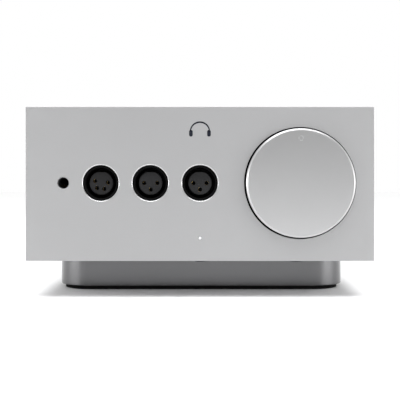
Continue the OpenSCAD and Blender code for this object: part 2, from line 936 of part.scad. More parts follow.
module left_input_latch() {
    input_latch(input_xs[1]);
}

module right_input_latch() {
    input_latch(input_xs[0]);
}

module input_socket_screws() {
    color("dimgray") for (x = input_xs) on_rear(x, input_z)
        flange_screw_places() translate([0, 0, flange_t]) cap_screw(m3_r, 7, 2.6, 1.4);
}

module phono_sockets() {
    color("gold") for (x = phono_xs) on_rear(x, phono_z) difference() {
        union() {
            translate([0, 0, -phono_inside]) cylinder(r = phono_r, h = phono_inside + phono_proud);
            translate([0, 0, phono_ring_t]) cylinder(r = phono_body_r - 0.5, h = 1.2);
            translate([0, 0, -rear_t - phono_ring_t - 2.5]) cylinder(r = 6.5, h = 2.5, $fn = 6);
        }
        translate([0, 0, -phono_inside + 2]) cylinder(r = phono_inner_r, h = phono_inside + phono_proud);
    }
}

module phono_insulators() {
    color("white") for (x = phono_xs) on_rear(x, phono_z) {
        difference() {
            union() {
                cylinder(r = phono_body_r, h = phono_ring_t);
                translate([0, 0, -rear_t]) cylinder(r = phono_hole_r - 0.1, h = rear_t + 0.5);
                translate([0, 0, -rear_t - phono_ring_t]) cylinder(r = phono_body_r, h = phono_ring_t);
            }
            translate([0, 0, -rear_t - phono_ring_t - through])
                cylinder(r = phono_r + 0.02, h = rear_t + 2 * phono_ring_t + 2 * through);
        }
        translate([0, 0, -phono_inside + 2.1]) difference() {
            cylinder(r = phono_inner_r - 0.05, h = phono_inside + phono_proud - 3);
            translate([0, 0, 4]) cylinder(r = phono_bore_r, h = phono_inside + phono_proud);
        }
    }
}

module link_sockets() {
    color("#262626") for (x = link_xs) on_rear(x, phono_z) difference() {
        translate([-link_w / 2, -link_h / 2, -link_d]) cube([link_w, link_h, link_d]);
        translate([-link_open_w / 2, -link_open_h / 2, -link_open_d])
            cube([link_open_w, link_open_h, link_open_d + through]);
        translate([-2, -link_open_h / 2 - 2, -link_open_d]) cube([4, 3, link_open_d + through]);
    }
}

module mains_inlet() {
    color("#141414") on_rear(mains_x, inlet_z) difference() {
        union() {
            linear_extrude(height = inlet_flange_t) rounded_rect(inlet_w, inlet_h, 2.5);
            translate([-inlet_body_w / 2, -inlet_body_h / 2, -inlet_body_d])
                cube([inlet_body_w, inlet_body_h, inlet_body_d]);
        }
        translate([0, inlet_open_y, -inlet_open_d])
            linear_extrude(height = inlet_open_d + inlet_flange_t + through)
                inlet_outline(inlet_open_w / 2, inlet_open_h / 2);
        translate([0, drawer_y, -drawer_d - 1])
            linear_extrude(height = drawer_d + inlet_flange_t + 2 * through)
                square([drawer_w + 2 * drawer_gap, drawer_h + 2 * drawer_gap], center = true);
    }
}

// Half-width a and half-height b of the inlet's opening, with its two upper corners cut off
module inlet_outline(a, b) {
    polygon([[-a, -b], [a, -b], [a, b - 4], [a - 5, b], [5 - a, b], [-a, b - 4]]);
}

module inlet_blades() {
    blade_l = inlet_open_d - blade_recess;
    color("lightgray") on_rear(mains_x, inlet_z) for (p = [[-blade_spacing, 0], [0, 4], [blade_spacing, 0]])
        translate([p[0] - blade_w / 2, inlet_open_y - 1 + p[1] - blade_h / 2, -inlet_open_d])
            cube([blade_w, blade_h, blade_l]);
}

module fuse_drawer() {
    color("#1c1c1c") on_rear(mains_x, inlet_z) translate([0, drawer_y, 0]) difference() {
        union() {
            translate([-drawer_w / 2, -drawer_h / 2, -drawer_d])
                cube([drawer_w, drawer_h, drawer_d + inlet_flange_t + drawer_lip]);
            translate([-drawer_w / 2 - 0.8, -drawer_h / 2 - 0.5, inlet_flange_t + drawer_gap])
                cube([drawer_w + 1.6, drawer_h + 1, drawer_lip - drawer_gap]);
        }
        translate([-fuse_l / 2 - 0.3, -fuse_r - 0.2, -drawer_d + 3])
            cube([fuse_l + 0.6, drawer_h, 2 * fuse_r + 0.4]);
        translate([-4, -drawer_h / 2 - 1, inlet_flange_t + 0.5]) cube([8, 1.5, 2]);
    }
}

module mains_fuse() {
    color("lightblue") on_rear(mains_x, inlet_z)
        translate([-fuse_l / 2, drawer_y, -drawer_d + 3 + fuse_r + 0.2]) rotate([0, 90, 0])
            cylinder(r = fuse_r, h = fuse_l);
}

module switch_housing() {
    color("#141414") on_rear(mains_x, switch_z) difference() {
        union() {
            linear_extrude(height = rocker_bezel_t) rounded_rect(rocker_bezel_w, rocker_bezel_h, 1);
            translate([-rocker_body_w / 2, -rocker_body_h / 2, -rocker_body_d])
                cube([rocker_body_w, rocker_body_h, rocker_body_d]);
        }
        translate([-rocker_open_w / 2, -rocker_open_h / 2, -rocker_open_d])
            cube([rocker_open_w, rocker_open_h, rocker_open_d + rocker_bezel_t + through]);
        rocker_pin(rocker_pivot_r + 0.05, rocker_w / 2 + 0.7);
    }
}

module rocker_pin(r, half_l) {
    translate([-half_l, 0, rocker_pivot]) rotate([0, 90, 0]) cylinder(r = r, h = 2 * half_l);
}

module switch_rocker() {
    color("#1c1c1c") on_rear(mains_x, switch_z) {
        translate([0, 0, rocker_pivot]) rotate([rocker_tilt, 0, 0])
            rotate([90, 0, 90]) linear_extrude(height = rocker_w, center = true) polygon([
                [-rocker_half_h, 0.5], [-rocker_half_h, 5], [0, 3.4], [rocker_half_h, 5],
                [rocker_half_h, 0.5], [3, -4], [-3, -4],
            ]);
        rocker_pin(rocker_pivot_r, rocker_w / 2 + 0.6);
    }
}

front_panel();
cover();
cover_rails();
base_tray();
rear_panel();
plinth();
foot_ring();
plinth_screws();
tray_screws();
rear_panel_screws();
front_bracket();
front_bracket_screws();
four_pin_shell();
four_pin_insert();
left_socket_shell();
left_socket_insert();
right_socket_shell();
right_socket_insert();
socket_contacts();
jack_socket_body();
jack_contacts();
status_light_pipe();
volume_knob();
knob_set_screw();
potentiometer_shaft();
volume_potentiometer();
potentiometer_nut();
power_button();
function_button();
button_switches();
button_board();
output_board();
main_board();
relays();
film_capacitors();
supply_board();
reservoir_capacitors();
left_heat_sink();
right_heat_sink();
output_transistors();
board_standoffs();
transformer();
transformer_pads();
transformer_washer();
transformer_bolt();
input_board();
input_shells();
input_inserts();
left_input_latch();
right_input_latch();
input_socket_screws();
phono_sockets();
phono_insulators();
link_sockets();
mains_inlet();
inlet_blades();
fuse_drawer();
mains_fuse();
switch_housing();
switch_rocker();
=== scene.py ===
# %% [markdown]
# # A desktop headphone amplifier
# This script dresses a finished engineering model. The model already holds every size, hole, hinge and slide of the
# amplifier, so nothing here decides how big a thing is. Blender's job is the finish: softened edges, blasted and
# anodised metal, black mouldings, contacts, boards and windings.
# The first cell loads that model as a fixed frame; part_box reads the box of any of its parts.

import math

import bmesh
import bpy
from mathutils import Matrix, Vector


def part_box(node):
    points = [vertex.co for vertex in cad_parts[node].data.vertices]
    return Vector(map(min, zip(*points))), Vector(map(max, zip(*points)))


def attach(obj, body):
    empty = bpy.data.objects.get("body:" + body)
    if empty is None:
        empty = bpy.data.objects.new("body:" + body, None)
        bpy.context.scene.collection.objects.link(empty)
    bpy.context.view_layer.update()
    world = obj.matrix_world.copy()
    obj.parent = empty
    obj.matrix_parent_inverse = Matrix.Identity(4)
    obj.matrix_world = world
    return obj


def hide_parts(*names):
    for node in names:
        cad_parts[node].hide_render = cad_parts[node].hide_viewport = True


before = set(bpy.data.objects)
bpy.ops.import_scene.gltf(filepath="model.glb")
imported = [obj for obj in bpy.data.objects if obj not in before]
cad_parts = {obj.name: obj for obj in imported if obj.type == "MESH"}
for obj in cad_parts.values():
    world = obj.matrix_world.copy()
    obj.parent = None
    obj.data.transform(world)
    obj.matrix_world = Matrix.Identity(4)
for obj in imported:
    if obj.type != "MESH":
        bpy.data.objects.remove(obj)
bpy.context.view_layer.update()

# %% [markdown]
# ## Reading places off the frame
# Every node of the frame has a box. The middle of a node's box tells where its axis is, and the width of the box
# tells its size, so a piece that is built here lands exactly where the engineering model has it.
# Lengths are written in millimetres and multiplied by MM, because Blender works in metres.

# %% Places and sizes
MM = 0.001


def mm(*rows):
    """Rows of lengths in millimetres, as metres."""
    return [tuple(value * MM for value in row) for row in rows]


def middle(node):
    low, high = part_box(node)
    return (Vector(low) + Vector(high)) / 2


def extent(node):
    low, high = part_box(node)
    return Vector(high) - Vector(low)


face_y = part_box("front_panel")[0][1]
panel_back_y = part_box("front_panel")[1][1]
back_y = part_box("cover")[1][1]
case_low, case_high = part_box("front_panel")
knob_centre = middle("volume_knob")
axis_z = knob_centre.z
print("front face at", round(face_y / MM, 1), "mm, rear face at", round(back_y / MM, 1), "mm")

# %% [markdown]
# ## The camera
# A wide, low box is best seen straight on, so that its edges stay level and upright. To show a little more of what
# lies under the case, the camera isn't tilted, which would make the edges lean. The lens is shifted instead, as on
# a studio camera.

# %% Camera
CAMERA_DISTANCE = 515 * MM
CAMERA_TO_THE_RIGHT = 6.9 * MM
CAMERA_HEIGHT = 73.25 * MM
FILM_WIDTH = 36
FOCAL_LENGTH = 73.5
LENS_SHIFT = (-0.0272, -0.042)

camera = bpy.data.objects.new("camera", bpy.data.cameras.new("camera"))
bpy.context.collection.objects.link(camera)
camera.location = (CAMERA_TO_THE_RIGHT, face_y - CAMERA_DISTANCE, CAMERA_HEIGHT)
camera.rotation_euler = (math.radians(90), 0, 0)
camera.data.sensor_width = FILM_WIDTH
camera.data.lens = FOCAL_LENGTH
camera.data.shift_x, camera.data.shift_y = LENS_SHIFT
bpy.context.scene.camera = camera
print("camera at", [round(c, 3) for c in camera.location])

# %% [markdown]
# ## Light and floor
# Silver metal shows its surroundings more than its own colour, so the surroundings are what is designed here. A
# large soft box overhead draws the bright line along the upper edge of the knob. The room in front of the amplifier
# is dimmer than the floor, which gives the face its grey and lets it grow lighter towards the bottom. Two long, low
# strips, one on each side, draw the bright bands on the round corners of the plinth.
# The sky is a small node tree that reads the direction of view: it is dim in front and behind, where a face of metal
# would mirror it, and brighter overhead and to both sides. Seen directly it is plain white, as paper is.

# %% Floor
def flat_floor(size):
    floor_mesh = bpy.data.meshes.new("floor")
    corners = [(-size, -size, 0), (size, -size, 0), (size, size, 0), (-size, size, 0)]
    floor_mesh.from_pydata(corners, [], [(0, 1, 2, 3)])
    floor = bpy.data.objects.new("floor", floor_mesh)
    bpy.context.collection.objects.link(floor)
    return floor


floor = flat_floor(6)
paper = bpy.data.materials.new("white_paper")
paper.use_nodes = True
paper_shader = paper.node_tree.nodes["Principled BSDF"]
paper_shader.inputs["Base Color"].default_value = (0.93, 0.93, 0.93, 1)
paper_shader.inputs["Roughness"].default_value = 0.9
floor.data.materials.append(paper)
print("floor", round(floor.dimensions.x, 1), "m wide")

# %% Soft boxes
def soft_box(name, place, aim, size, watts, colour=(1, 1, 1)):
    light = bpy.data.lights.new(name, "AREA")
    light.shape = "RECTANGLE"
    light.size, light.size_y = size
    light.energy = watts
    light.color = colour
    lamp = bpy.data.objects.new(name, light)
    lamp.location = place
    lamp.rotation_euler = (Vector(aim) - Vector(place)).to_track_quat("-Z", "Y").to_euler()
    bpy.context.collection.objects.link(lamp)
    return lamp


soft_box("overhead_soft_box", (0, -0.6, 1.2), (0, -0.05, 0), (1.5, 0.9), 26, (0.98, 0.985, 1.0))
for name, side, watts in (("left_strip", -1, 10), ("right_strip", 1, 12)):
    soft_box(name, (side * 1.5, -0.65, 0.15), (side * 0.1, -0.1, 0.015), (1.1, 0.28), watts)

# %% Sky
SKY_AHEAD = 0.2
SKY_LEFT = 1.1
SKY_RIGHT = 1.2
SKY_OVERHEAD = 1.0

sky = bpy.data.worlds.new("studio")
sky.use_nodes = True
bpy.context.scene.world = sky
sky_nodes, sky_links = sky.node_tree.nodes, sky.node_tree.links
sky_direction = sky_nodes.new("ShaderNodeTexCoord")
sky_parts = sky_nodes.new("ShaderNodeSeparateXYZ")
sky_links.new(sky_direction.outputs["Generated"], sky_parts.inputs[0])


def sky_math(operation, first, second):
    node = sky_nodes.new("ShaderNodeMath")
    node.operation = operation
    for socket, value in zip(node.inputs, (first, second)):
        if isinstance(value, (int, float)):
            socket.default_value = value
        else:
            sky_links.new(value, socket)
    return node.outputs[0]


def towards(axis, sign, gain, power=3):
    """Brightness that grows as the view turns towards one end of an axis."""
    share = sky_math("MAXIMUM", sky_math("MULTIPLY", sky_parts.outputs[axis], sign), 0.0)
    return sky_math("MULTIPLY", sky_math("POWER", share, power), gain)


sideways = sky_math("ADD", towards("X", -1, SKY_LEFT), towards("X", 1, SKY_RIGHT))
brightness = sky_math("ADD", sky_math("ADD", sideways, towards("Z", 1, SKY_OVERHEAD, 1)), SKY_AHEAD)
room = sky_nodes["Background"]
room.inputs["Color"].default_value = (1, 1, 1, 1)
sky_links.new(brightness, room.inputs["Strength"])
backdrop = sky_nodes.new("ShaderNodeBackground")
backdrop.inputs["Color"].default_value = (1, 1, 1, 1)
seen_directly = sky_nodes.new("ShaderNodeLightPath")
sky_mix = sky_nodes.new("ShaderNodeMixShader")
sky_links.new(seen_directly.outputs["Is Camera Ray"], sky_mix.inputs[0])
sky_links.new(room.outputs[0], sky_mix.inputs[1])
sky_links.new(backdrop.outputs[0], sky_mix.inputs[2])
sky_links.new(sky_mix.outputs[0], sky_nodes["World Output"].inputs["Surface"])
bpy.context.scene.view_settings.view_transform = "Standard"
print("sky ahead", SKY_AHEAD, "left", SKY_AHEAD + SKY_LEFT, "right", SKY_AHEAD + SKY_RIGHT)

# %% [markdown]
# ## Finishes
# Each finish is one material. They all start alike: one shader with its colour, roughness and metalness, and a
# pattern that breaks up the colour, the gloss and the surface. The patterns read Object coordinates, so they are the
# same size on every piece and stay put when a piece moves. Sizes are given as the number of features in a metre.

# %% Start of a finish
def finish(name, colour, roughness, metallic=0.0):
    material = bpy.data.materials.new(name)
    material.use_nodes = True
    shader = material.node_tree.nodes["Principled BSDF"]
    shader.inputs["Base Color"].default_value = (*colour, 1)
    shader.inputs["Roughness"].default_value = roughness
    shader.inputs["Metallic"].default_value = metallic
    return material


def add_node(material, kind, **settings):
    node = material.node_tree.nodes.new(kind)
    for key, value in settings.items():
        setattr(node, key, value)
    return node


def join(material, source, target):
    material.node_tree.links.new(source, target)


def shader_of(material):
    return material.node_tree.nodes["Principled BSDF"]


# %% [markdown]
# Noise is the base of most finishes. Cloudy noise with large features gives the slow change of tone that no
# real surface is without. Fine noise drives a bump, which breaks a highlight into the sparkle of blasted metal or the
# dull skin of a moulding.

# %% Patterns
def noise(material, per_metre, detail=2.0, roughness=0.5, stretch=(1, 1, 1)):
    where = add_node(material, "ShaderNodeTexCoord")
    mapping = add_node(material, "ShaderNodeMapping")
    mapping.inputs["Scale"].default_value = stretch
    texture = add_node(material, "ShaderNodeTexNoise")
    texture.inputs["Scale"].default_value = per_metre
    texture.inputs["Detail"].default_value = detail
    texture.inputs["Roughness"].default_value = roughness
    join(material, where.outputs["Object"], mapping.inputs["Vector"])
    join(material, mapping.outputs["Vector"], texture.inputs["Vector"])
    return texture.outputs["Fac"]


NOISE_LOW, NOISE_HIGH = 0.3, 0.7


def between(material, factor, low, high, target):
    """Drives a value socket from low to high as the noise goes through its usual range."""
    ramp = add_node(material, "ShaderNodeMapRange")
    for label, value in (("From Min", NOISE_LOW), ("From Max", NOISE_HIGH), ("To Min", low), ("To Max", high)):
        ramp.inputs[label].default_value = value
    join(material, factor, ramp.inputs["Value"])
    join(material, ramp.outputs["Result"], target)


def tint(material, factor, colour, spread_down, spread_up):
    """Drives the base colour from a darker to a lighter tone of a colour, in the same way."""
    ramp = add_node(material, "ShaderNodeValToRGB")
    for element, position, share in zip(ramp.color_ramp.elements, (NOISE_LOW, NOISE_HIGH),
                                        (spread_down, spread_up)):
        element.position = position
        element.color = (*[min(1, c * share) for c in colour], 1)
    join(material, factor, ramp.inputs["Fac"])
    join(material, ramp.outputs["Color"], shader_of(material).inputs["Base Color"])


def bump(material, factor, depth, strength):
    """Raises the surface by depth where factor is high."""
    node = add_node(material, "ShaderNodeBump")
    node.inputs["Distance"].default_value = depth
    node.inputs["Strength"].default_value = strength
    join(material, factor, node.inputs["Height"])
    join(material, node.outputs["Normal"], shader_of(material).inputs["Normal"])


# %% [markdown]
# The case, the plinth and the knob are aluminium that was blasted with fine beads and then clear anodised. Blasting
# leaves shallow dents about a tenth of a millimetre across; anodising adds a hard, faintly milky skin. A metal shader
# with a medium roughness gives the soft gradient, and fine noise in the bump and the roughness gives the dents.
# The knob is a little smoother than the case. The plinth is the same silver darkened as painted shade, for the shadow
# under the case, and the socket rims take a lighter, smoother copy as a painted highlight.

# %% Anodised aluminium
def blasted_aluminium(name, colour, roughness, sparkle=1.0):
    material = finish(name, colour, roughness, metallic=1.0)
    clouds = noise(material, 9, detail=3)
    tint(material, clouds, colour, 0.975, 1.02)
    dents = noise(material, 5200, detail=3, roughness=0.6)
    between(material, dents, roughness - 0.05, roughness + 0.05, shader_of(material).inputs["Roughness"])
    bump(material, dents, 0.012 * MM, 0.35 * sparkle)
    return material


silver_case = blasted_aluminium("silver_case", (0.335, 0.335, 0.337), 0.52)
silver_knob = blasted_aluminium("silver_knob", (0.42, 0.42, 0.422), 0.33, sparkle=0.7)
# Painted shade: the plinth is the same silver as the case, darkened to stand for the shadow under the overhanging
# case.
plinth_painted_shade = blasted_aluminium("plinth_painted_shade", (0.1, 0.1, 0.102), 0.26)
# Painted highlight: a lighter, smoother copy of the case metal for the bright arcs that the socket rims catch.
rim_painted_highlight = blasted_aluminium("rim_painted_highlight", (0.5, 0.5, 0.502), 0.28, sparkle=0.5)
grey_chassis = blasted_aluminium("grey_chassis", (0.25, 0.25, 0.26), 0.45)
black_heat_sink = blasted_aluminium("black_heat_sink", (0.06, 0.06, 0.065), 0.4)
print("aluminium finishes: 6")

# %% [markdown]
# Zinc plated steel is brighter than aluminium and shows the direction in which the sheet was rolled. Stretching the
# noise along one axis turns dots into fine lines. Black oxide screws are the same metal under a thin dark skin that
# wears lighter in patches.

# %% Steel
def rolled_steel(name, colour, roughness):
    material = finish(name, colour, roughness, metallic=1.0)
    lines = noise(material, 700, detail=3, stretch=(0.06, 1, 1))
    patches = noise(material, 60, detail=2)
    tint(material, patches, colour, 0.9, 1.06)
    between(material, lines, roughness - 0.07, roughness + 0.09, shader_of(material).inputs["Roughness"])
    bump(material, lines, 0.01 * MM, 0.4)
    return material


zinc_steel = rolled_steel("zinc_steel", (0.6, 0.6, 0.6), 0.3)
black_steel = rolled_steel("black_steel", (0.045, 0.045, 0.05), 0.38)
nickel = rolled_steel("nickel", (0.66, 0.64, 0.6), 0.2)
gold = rolled_steel("gold_plating", (0.86, 0.6, 0.24), 0.2)
print("metal finishes:", zinc_steel.name, black_steel.name, nickel.name, gold.name)

# %% [markdown]
# Black parts are never one black. The socket shells are die cast and have a deep, dull coating with a faint orange
# peel. The same near black is laid into the pocket behind the knob and on the knob's back as painted shade, where the
# real gap is silver metal in shadow. The mouldings come out of a spark-eroded tool with an even fine
# texture. Rubber is the dullest and has a coarse grain, with dust in it that makes it lighter here and there.

# %% Black finishes
def moulded(name, colour, roughness, grain_per_metre=3500, grain_depth=0.02 * MM, cloud=0.25):
    material = finish(name, colour, roughness)
    clouds = noise(material, 70, detail=3)
    tint(material, clouds, colour, 1 - cloud, 1 + cloud)
    grain = noise(material, grain_per_metre, detail=2, roughness=0.6)
    between(material, grain, roughness - 0.06, roughness + 0.08, shader_of(material).inputs["Roughness"])
    bump(material, grain, grain_depth, 0.5)
    return material


# shell_coating is also laid into the knob's pocket and on the knob's back as painted shade.
shell_coating = moulded("shell_coating", (0.002, 0.002, 0.002), 0.55, 900, 0.01 * MM)
insert_moulding = moulded("insert_moulding", (0.011, 0.011, 0.0115), 0.7)
black_moulding = moulded("black_moulding", (0.014, 0.014, 0.015), 0.42)
foot_rubber = moulded("foot_rubber", (0.003, 0.003, 0.003), 0.9, 1400, 0.05 * MM, cloud=0.4)
pale_moulding = moulded("pale_moulding", (0.72, 0.7, 0.63), 0.4)
red_moulding = moulded("red_moulding", (0.42, 0.02, 0.015), 0.38)
for dull, shine in ((insert_moulding, 0.15), (shell_coating, 0.04), (foot_rubber, 0.1)):
    shader_of(dull).inputs["Specular IOR Level"].default_value = shine
print("moulded finishes: 6")

# %% [markdown]
# ## Making shapes
# Nearly every piece of this amplifier is either turned on a lathe or has the same outline all the way through.
# Both are made alike: rings of points, one above the other, with faces between them. A ring of radius zero is a
# single point, so that a turned piece closes at its axis.
# A real corner is never sharp. `soften` takes the corners of a profile, each with its own radius, and replaces each
# by a short arc. That small radius is what catches the light along every edge.

# %% Softened corners
def soften(corners, steps=4):
    """Turns corners (u, v, radius) into points, with an arc in place of each corner that has a radius."""
    points = []
    for i, (u, v, radius) in enumerate(corners):
        here = Vector((u, v))
        if radius <= 0 or i in (0, len(corners) - 1):
            points.append(here)
            continue
        before = (Vector(corners[i - 1][:2]) - here).normalized()
        after = (Vector(corners[i + 1][:2]) - here).normalized()
        half = before.angle(after) / 2
        reach = radius / math.tan(half)
        centre = here + (before + after).normalized() * (radius / math.sin(half))
        first, last = here + before * reach - centre, here + after * reach - centre
        turn = first.angle_signed(last)
        for step in range(steps + 1):
            points.append(centre + Matrix.Rotation(-turn * step / steps, 2) @ first)
    return points


# %% Outlines
def ring_of(radius, steps=96):
    return [Vector((math.cos(a), math.sin(a))) * radius for a in (math.tau * i / steps for i in range(steps))]


def rounded_rectangle(width, depth, radius, steps=8):
    points = []
    for corner, (right, up) in enumerate(((1, 1), (-1, 1), (-1, -1), (1, -1))):
        centre = Vector((right * (width / 2 - radius), up * (depth / 2 - radius)))
        for step in range(steps + 1):
            angle = math.pi / 2 * (corner + step / steps)
            points.append(centre + Vector((math.cos(angle), math.sin(angle))) * radius)
    return points


# %% [markdown]
# A place is a matrix that says where a piece's own origin goes and which way its outside looks: to the front, to the
# rear, up or down. A socket is then drawn only once, looking towards its own +Z, and serves at the front and rear.

# %% Places to build at
FACINGS = {
    "front": ((1, 0, 0), (0, 0, 1), (0, -1, 0)),
    "rear": ((-1, 0, 0), (0, 0, 1), (0, 1, 0)),
    "up": ((1, 0, 0), (0, 1, 0), (0, 0, 1)),
    "down": ((1, 0, 0), (0, -1, 0), (0, 0, -1)),
    "right": ((0, 1, 0), (0, 0, 1), (1, 0, 0)),
}


def shift(x, y, z):
    return Matrix.Translation((x, y, z))


def turn_about(axis, angle):
    return Matrix.Rotation(angle, 4, axis)


def place(facing, x, y, z):
    return shift(x, y, z) @ Matrix(FACINGS[facing]).transposed().to_4x4()


# %% Rings into shells
def add_rings(bm, rings, at, closed=False):
    """Joins rings of (outline, height) into a shell. A closed shell joins its last ring to its first."""
    loops = []
    for outline, height in rings:
        if max(p.length for p in outline) < 1e-7:
            loops.append([bm.verts.new(at @ Vector((0, 0, height)))])
        else:
            loops.append([bm.verts.new(at @ Vector((p.x, p.y, height))) for p in outline])
    faces = []
    pairs = list(zip(loops, loops[1:]))
    if closed:
        pairs.append((loops[-1], loops[0]))
    for low, high in pairs:
        count = max(len(low), len(high))
        for i in range(count):
            j = (i + 1) % count
            corners = [low[i % len(low)], low[j % len(low)], high[j % len(high)], high[i % len(high)]]
            corners = list(dict.fromkeys(corners))
            if len(corners) > 2:
                faces.append(bm.faces.new(corners))
    if not closed:
        faces += [bm.faces.new(loop) for loop in (loops[0], loops[-1]) if len(loop) > 2]
    bmesh.ops.recalc_face_normals(bm, faces=faces)


def add_turned(bm, profile, at, steps=96, closed=False):
    """A turned shape from a profile of (radius, height)."""
    add_rings(bm, [(ring_of(p[0], steps), p[1]) for p in profile], at, closed)


def add_slab(bm, width, depth, low, high, at, corner=0.5 * MM, edge=0.3 * MM, steps=6):
    """A plate or block with rounded corners and softened upper and lower edges."""
    rings = []
    for turn in range(4):
        angle = math.pi / 2 * turn / 3
        rings.append((edge * (1 - math.sin(angle)), low + edge * (1 - math.cos(angle))))
    rings += [(inset, high + low - height) for inset, height in reversed(rings)]
    outlines = [
        (rounded_rectangle(width - 2 * inset, depth - 2 * inset, max(corner - inset, 0.02 * MM), steps), height)
        for inset, height in rings
    ]
    add_rings(bm, outlines, at)


def drawn(add, *measures, **more):
    """A mesh with one shape in it, such as drawn(add_slab, ...)."""
    bm = bmesh.new()
    add(bm, *measures, **more)
    return bm


# %% [markdown]
# A finished mesh becomes a piece: it gets its finish, smooth shading with crisp corners and the body it moves with,
# and the frame's plain parts that it stands for are hidden. Weighted normals keep large flat faces flat right up to
# their softened edges.

# %% Meshes into pieces
def new_object(name, bm):
    mesh = bpy.data.meshes.new(name)
    bm.to_mesh(mesh)
    bm.free()
    piece = bpy.data.objects.new(name, mesh)
    bpy.context.collection.objects.link(piece)
    return piece


CREASE_ANGLE = math.radians(32)


def shade(piece):
    mesh = piece.data
    mesh.polygons.foreach_set("use_smooth", [True] * len(mesh.polygons))
    mesh.set_sharp_from_angle(angle=CREASE_ANGLE)
    piece.modifiers.new("flat_faces_stay_flat", "WEIGHTED_NORMAL").keep_sharp = True


def finish_piece(piece, material, body, slot, *nodes):
    if material is not None:
        piece.data.materials.clear()
        piece.data.materials.append(material)
    shade(piece)
    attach(piece, body)
    if nodes:
        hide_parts(*nodes)
    print(piece.name, len(piece.data.polygons), "faces")
    return piece


def refinish(piece, material, chosen):
    """Gives another finish to the faces that chosen(centre, normal) picks."""
    piece.data.materials.append(material)
    index = len(piece.data.materials) - 1
    picked = [face for face in piece.data.polygons if chosen(face.center, face.normal)]
    for face in picked:
        face.material_index = index
    print(piece.name, len(picked), "faces in", material.name)


def bake(piece):
    """Turns a piece with modifiers into a plain mesh."""
    depsgraph = bpy.context.evaluated_depsgraph_get()
    mesh = bpy.data.meshes.new_from_object(piece.evaluated_get(depsgraph))
    piece.modifiers.clear()
    piece.data = mesh
    return piece


def combine(piece, other, operation):
    """Joins another object to a piece, or cuts it out of the piece. The other object is used up."""
    change = piece.modifiers.new("combine", "BOOLEAN")
    change.operation = operation
    change.solver = "EXACT"
    change.object = other
    bake(piece)
    bpy.data.objects.remove(other)
    return piece


def carve(piece, cutter_bm):
    """Takes the cutters' shapes out of a piece."""
    return combine(piece, new_object("cutter", cutter_bm), "DIFFERENCE")


# %% [markdown]
# ## Front panel
# The front is one plate of aluminium, ten millimetres thick, milled all over: a shallow round pocket for the knob,
# three round holes for the sockets, and small ones for the jack and the status light.
# It could be drawn as an outline and extruded, but then the pocket, which doesn't go through, would need a second
# plate. Cutting turned shapes out of a block does it in one go, and a flare at each cutter's mouth leaves the
# tiny chamfer that shines under every hole. The pocket is lined with near black as painted shade, and the sockets'
# rims get a lighter copy of the metal as a painted highlight.

# %% Front panel
EDGE = 0.25 * MM
MOUTH = 0.4 * MM
SOCKET_HOLE_R = 11.25 * MM
SOCKET_MOUTH = 0.65 * MM

socket_nodes = ("four_pin", "left_socket", "right_socket")


def add_hole(bm, radius, depth, at, mouth=MOUTH, steps=96):
    """A cutter for a round hole that starts at the face of at and has a softened mouth."""
    over = 1 * MM
    rim = [(radius + mouth * (1 - math.sin(a)), -mouth * (1 - math.cos(a))) for a in
           (math.pi / 2 * i / 5 for i in range(6))]
    profile = [(0, over), (radius + mouth, over)] + rim + [(radius, -depth), (0, -depth)]
    add_turned(bm, profile, at, steps)


def panel_block(name, low, high, edge):
    """A solid block with softened edges."""
    bm = bmesh.new()
    bmesh.ops.create_cube(bm, size=1)
    for vertex in bm.verts:
        vertex.co = Vector(a + (b - a) * (c + 0.5) for a, b, c in zip(low, high, vertex.co))
    bmesh.ops.bevel(bm, geom=bm.edges[:], offset=edge, segments=4, profile=0.5, affect="EDGES")
    return new_object(name, bm)


front_panel = panel_block("front_plate", *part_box("front_panel"), EDGE)
cutters = bmesh.new()
knob_pocket_r = 35.3 * MM
knob_pocket_d = 3 * MM
at_knob = place("front", knob_centre.x, face_y, axis_z)
add_hole(cutters, knob_pocket_r, knob_pocket_d, at_knob, mouth=0.15 * MM, steps=192)
carve(front_panel, cutters)
cutters = bmesh.new()
add_hole(cutters, 8 * MM, 12 * MM, at_knob, mouth=0.01 * MM)
socket_xs = [middle(socket + "_insert").x for socket in socket_nodes]
socket_places = [place("front", x, face_y, axis_z) for x in socket_xs]
for at in socket_places:
    add_hole(cutters, SOCKET_HOLE_R, 12 * MM, at, mouth=SOCKET_MOUTH, steps=128)
jack_x = middle("jack_socket_body").x
add_hole(cutters, 3.65 * MM, 12 * MM, place("front", jack_x, face_y, axis_z), mouth=0.3 * MM, steps=64)
light_z = middle("status_light_pipe").z
add_hole(cutters, 0.95 * MM, 12 * MM, place("front", 0, face_y, light_z), mouth=0.12 * MM, steps=32)
carve(front_panel, cutters)
carve(front_panel, drawn(add_hole, 6.1 * MM, 8 * MM, place("rear", jack_x, panel_back_y, axis_z), mouth=0.1 * MM))
finish_piece(front_panel, silver_case, "case", "silver_aluminium", "front_panel")


def from_axis(point, x):
    return math.hypot(point.x - x, point.z - axis_z)


def in_pocket_painted_shade(point, normal):
    inside = from_axis(point, knob_centre.x) < knob_pocket_r + 0.01 * MM
    return inside and 0.2 * MM < point.y - face_y < knob_pocket_d + 0.01 * MM


def on_rim_painted_highlight(point, normal):
    near = any(from_axis(point, x) < SOCKET_HOLE_R + SOCKET_MOUTH for x in socket_xs)
    return near and point.y - face_y < SOCKET_MOUTH and -0.995 < normal.y < -0.05


# Painted shade: the pocket is lined with near black, where the real gap lies in shadow.
refinish(front_panel, shell_coating, in_pocket_painted_shade)
# Painted highlight: the socket rims take the lighter metal.
refinish(front_panel, rim_painted_highlight, on_rim_painted_highlight)

# %% [markdown]
# ## Volume knob
# The knob is a turned disc. Its rim has a wide chamfer, its side goes down into the pocket, and a hub behind it
# takes the shaft. A small shallow hollow near the rim shows where it points.
# A profile turned about the axis gives all of it but the hollow and the hole for the set screw, which turned cutters
# take out. Its back is painted near black as painted shade, like the pocket that it stands in.

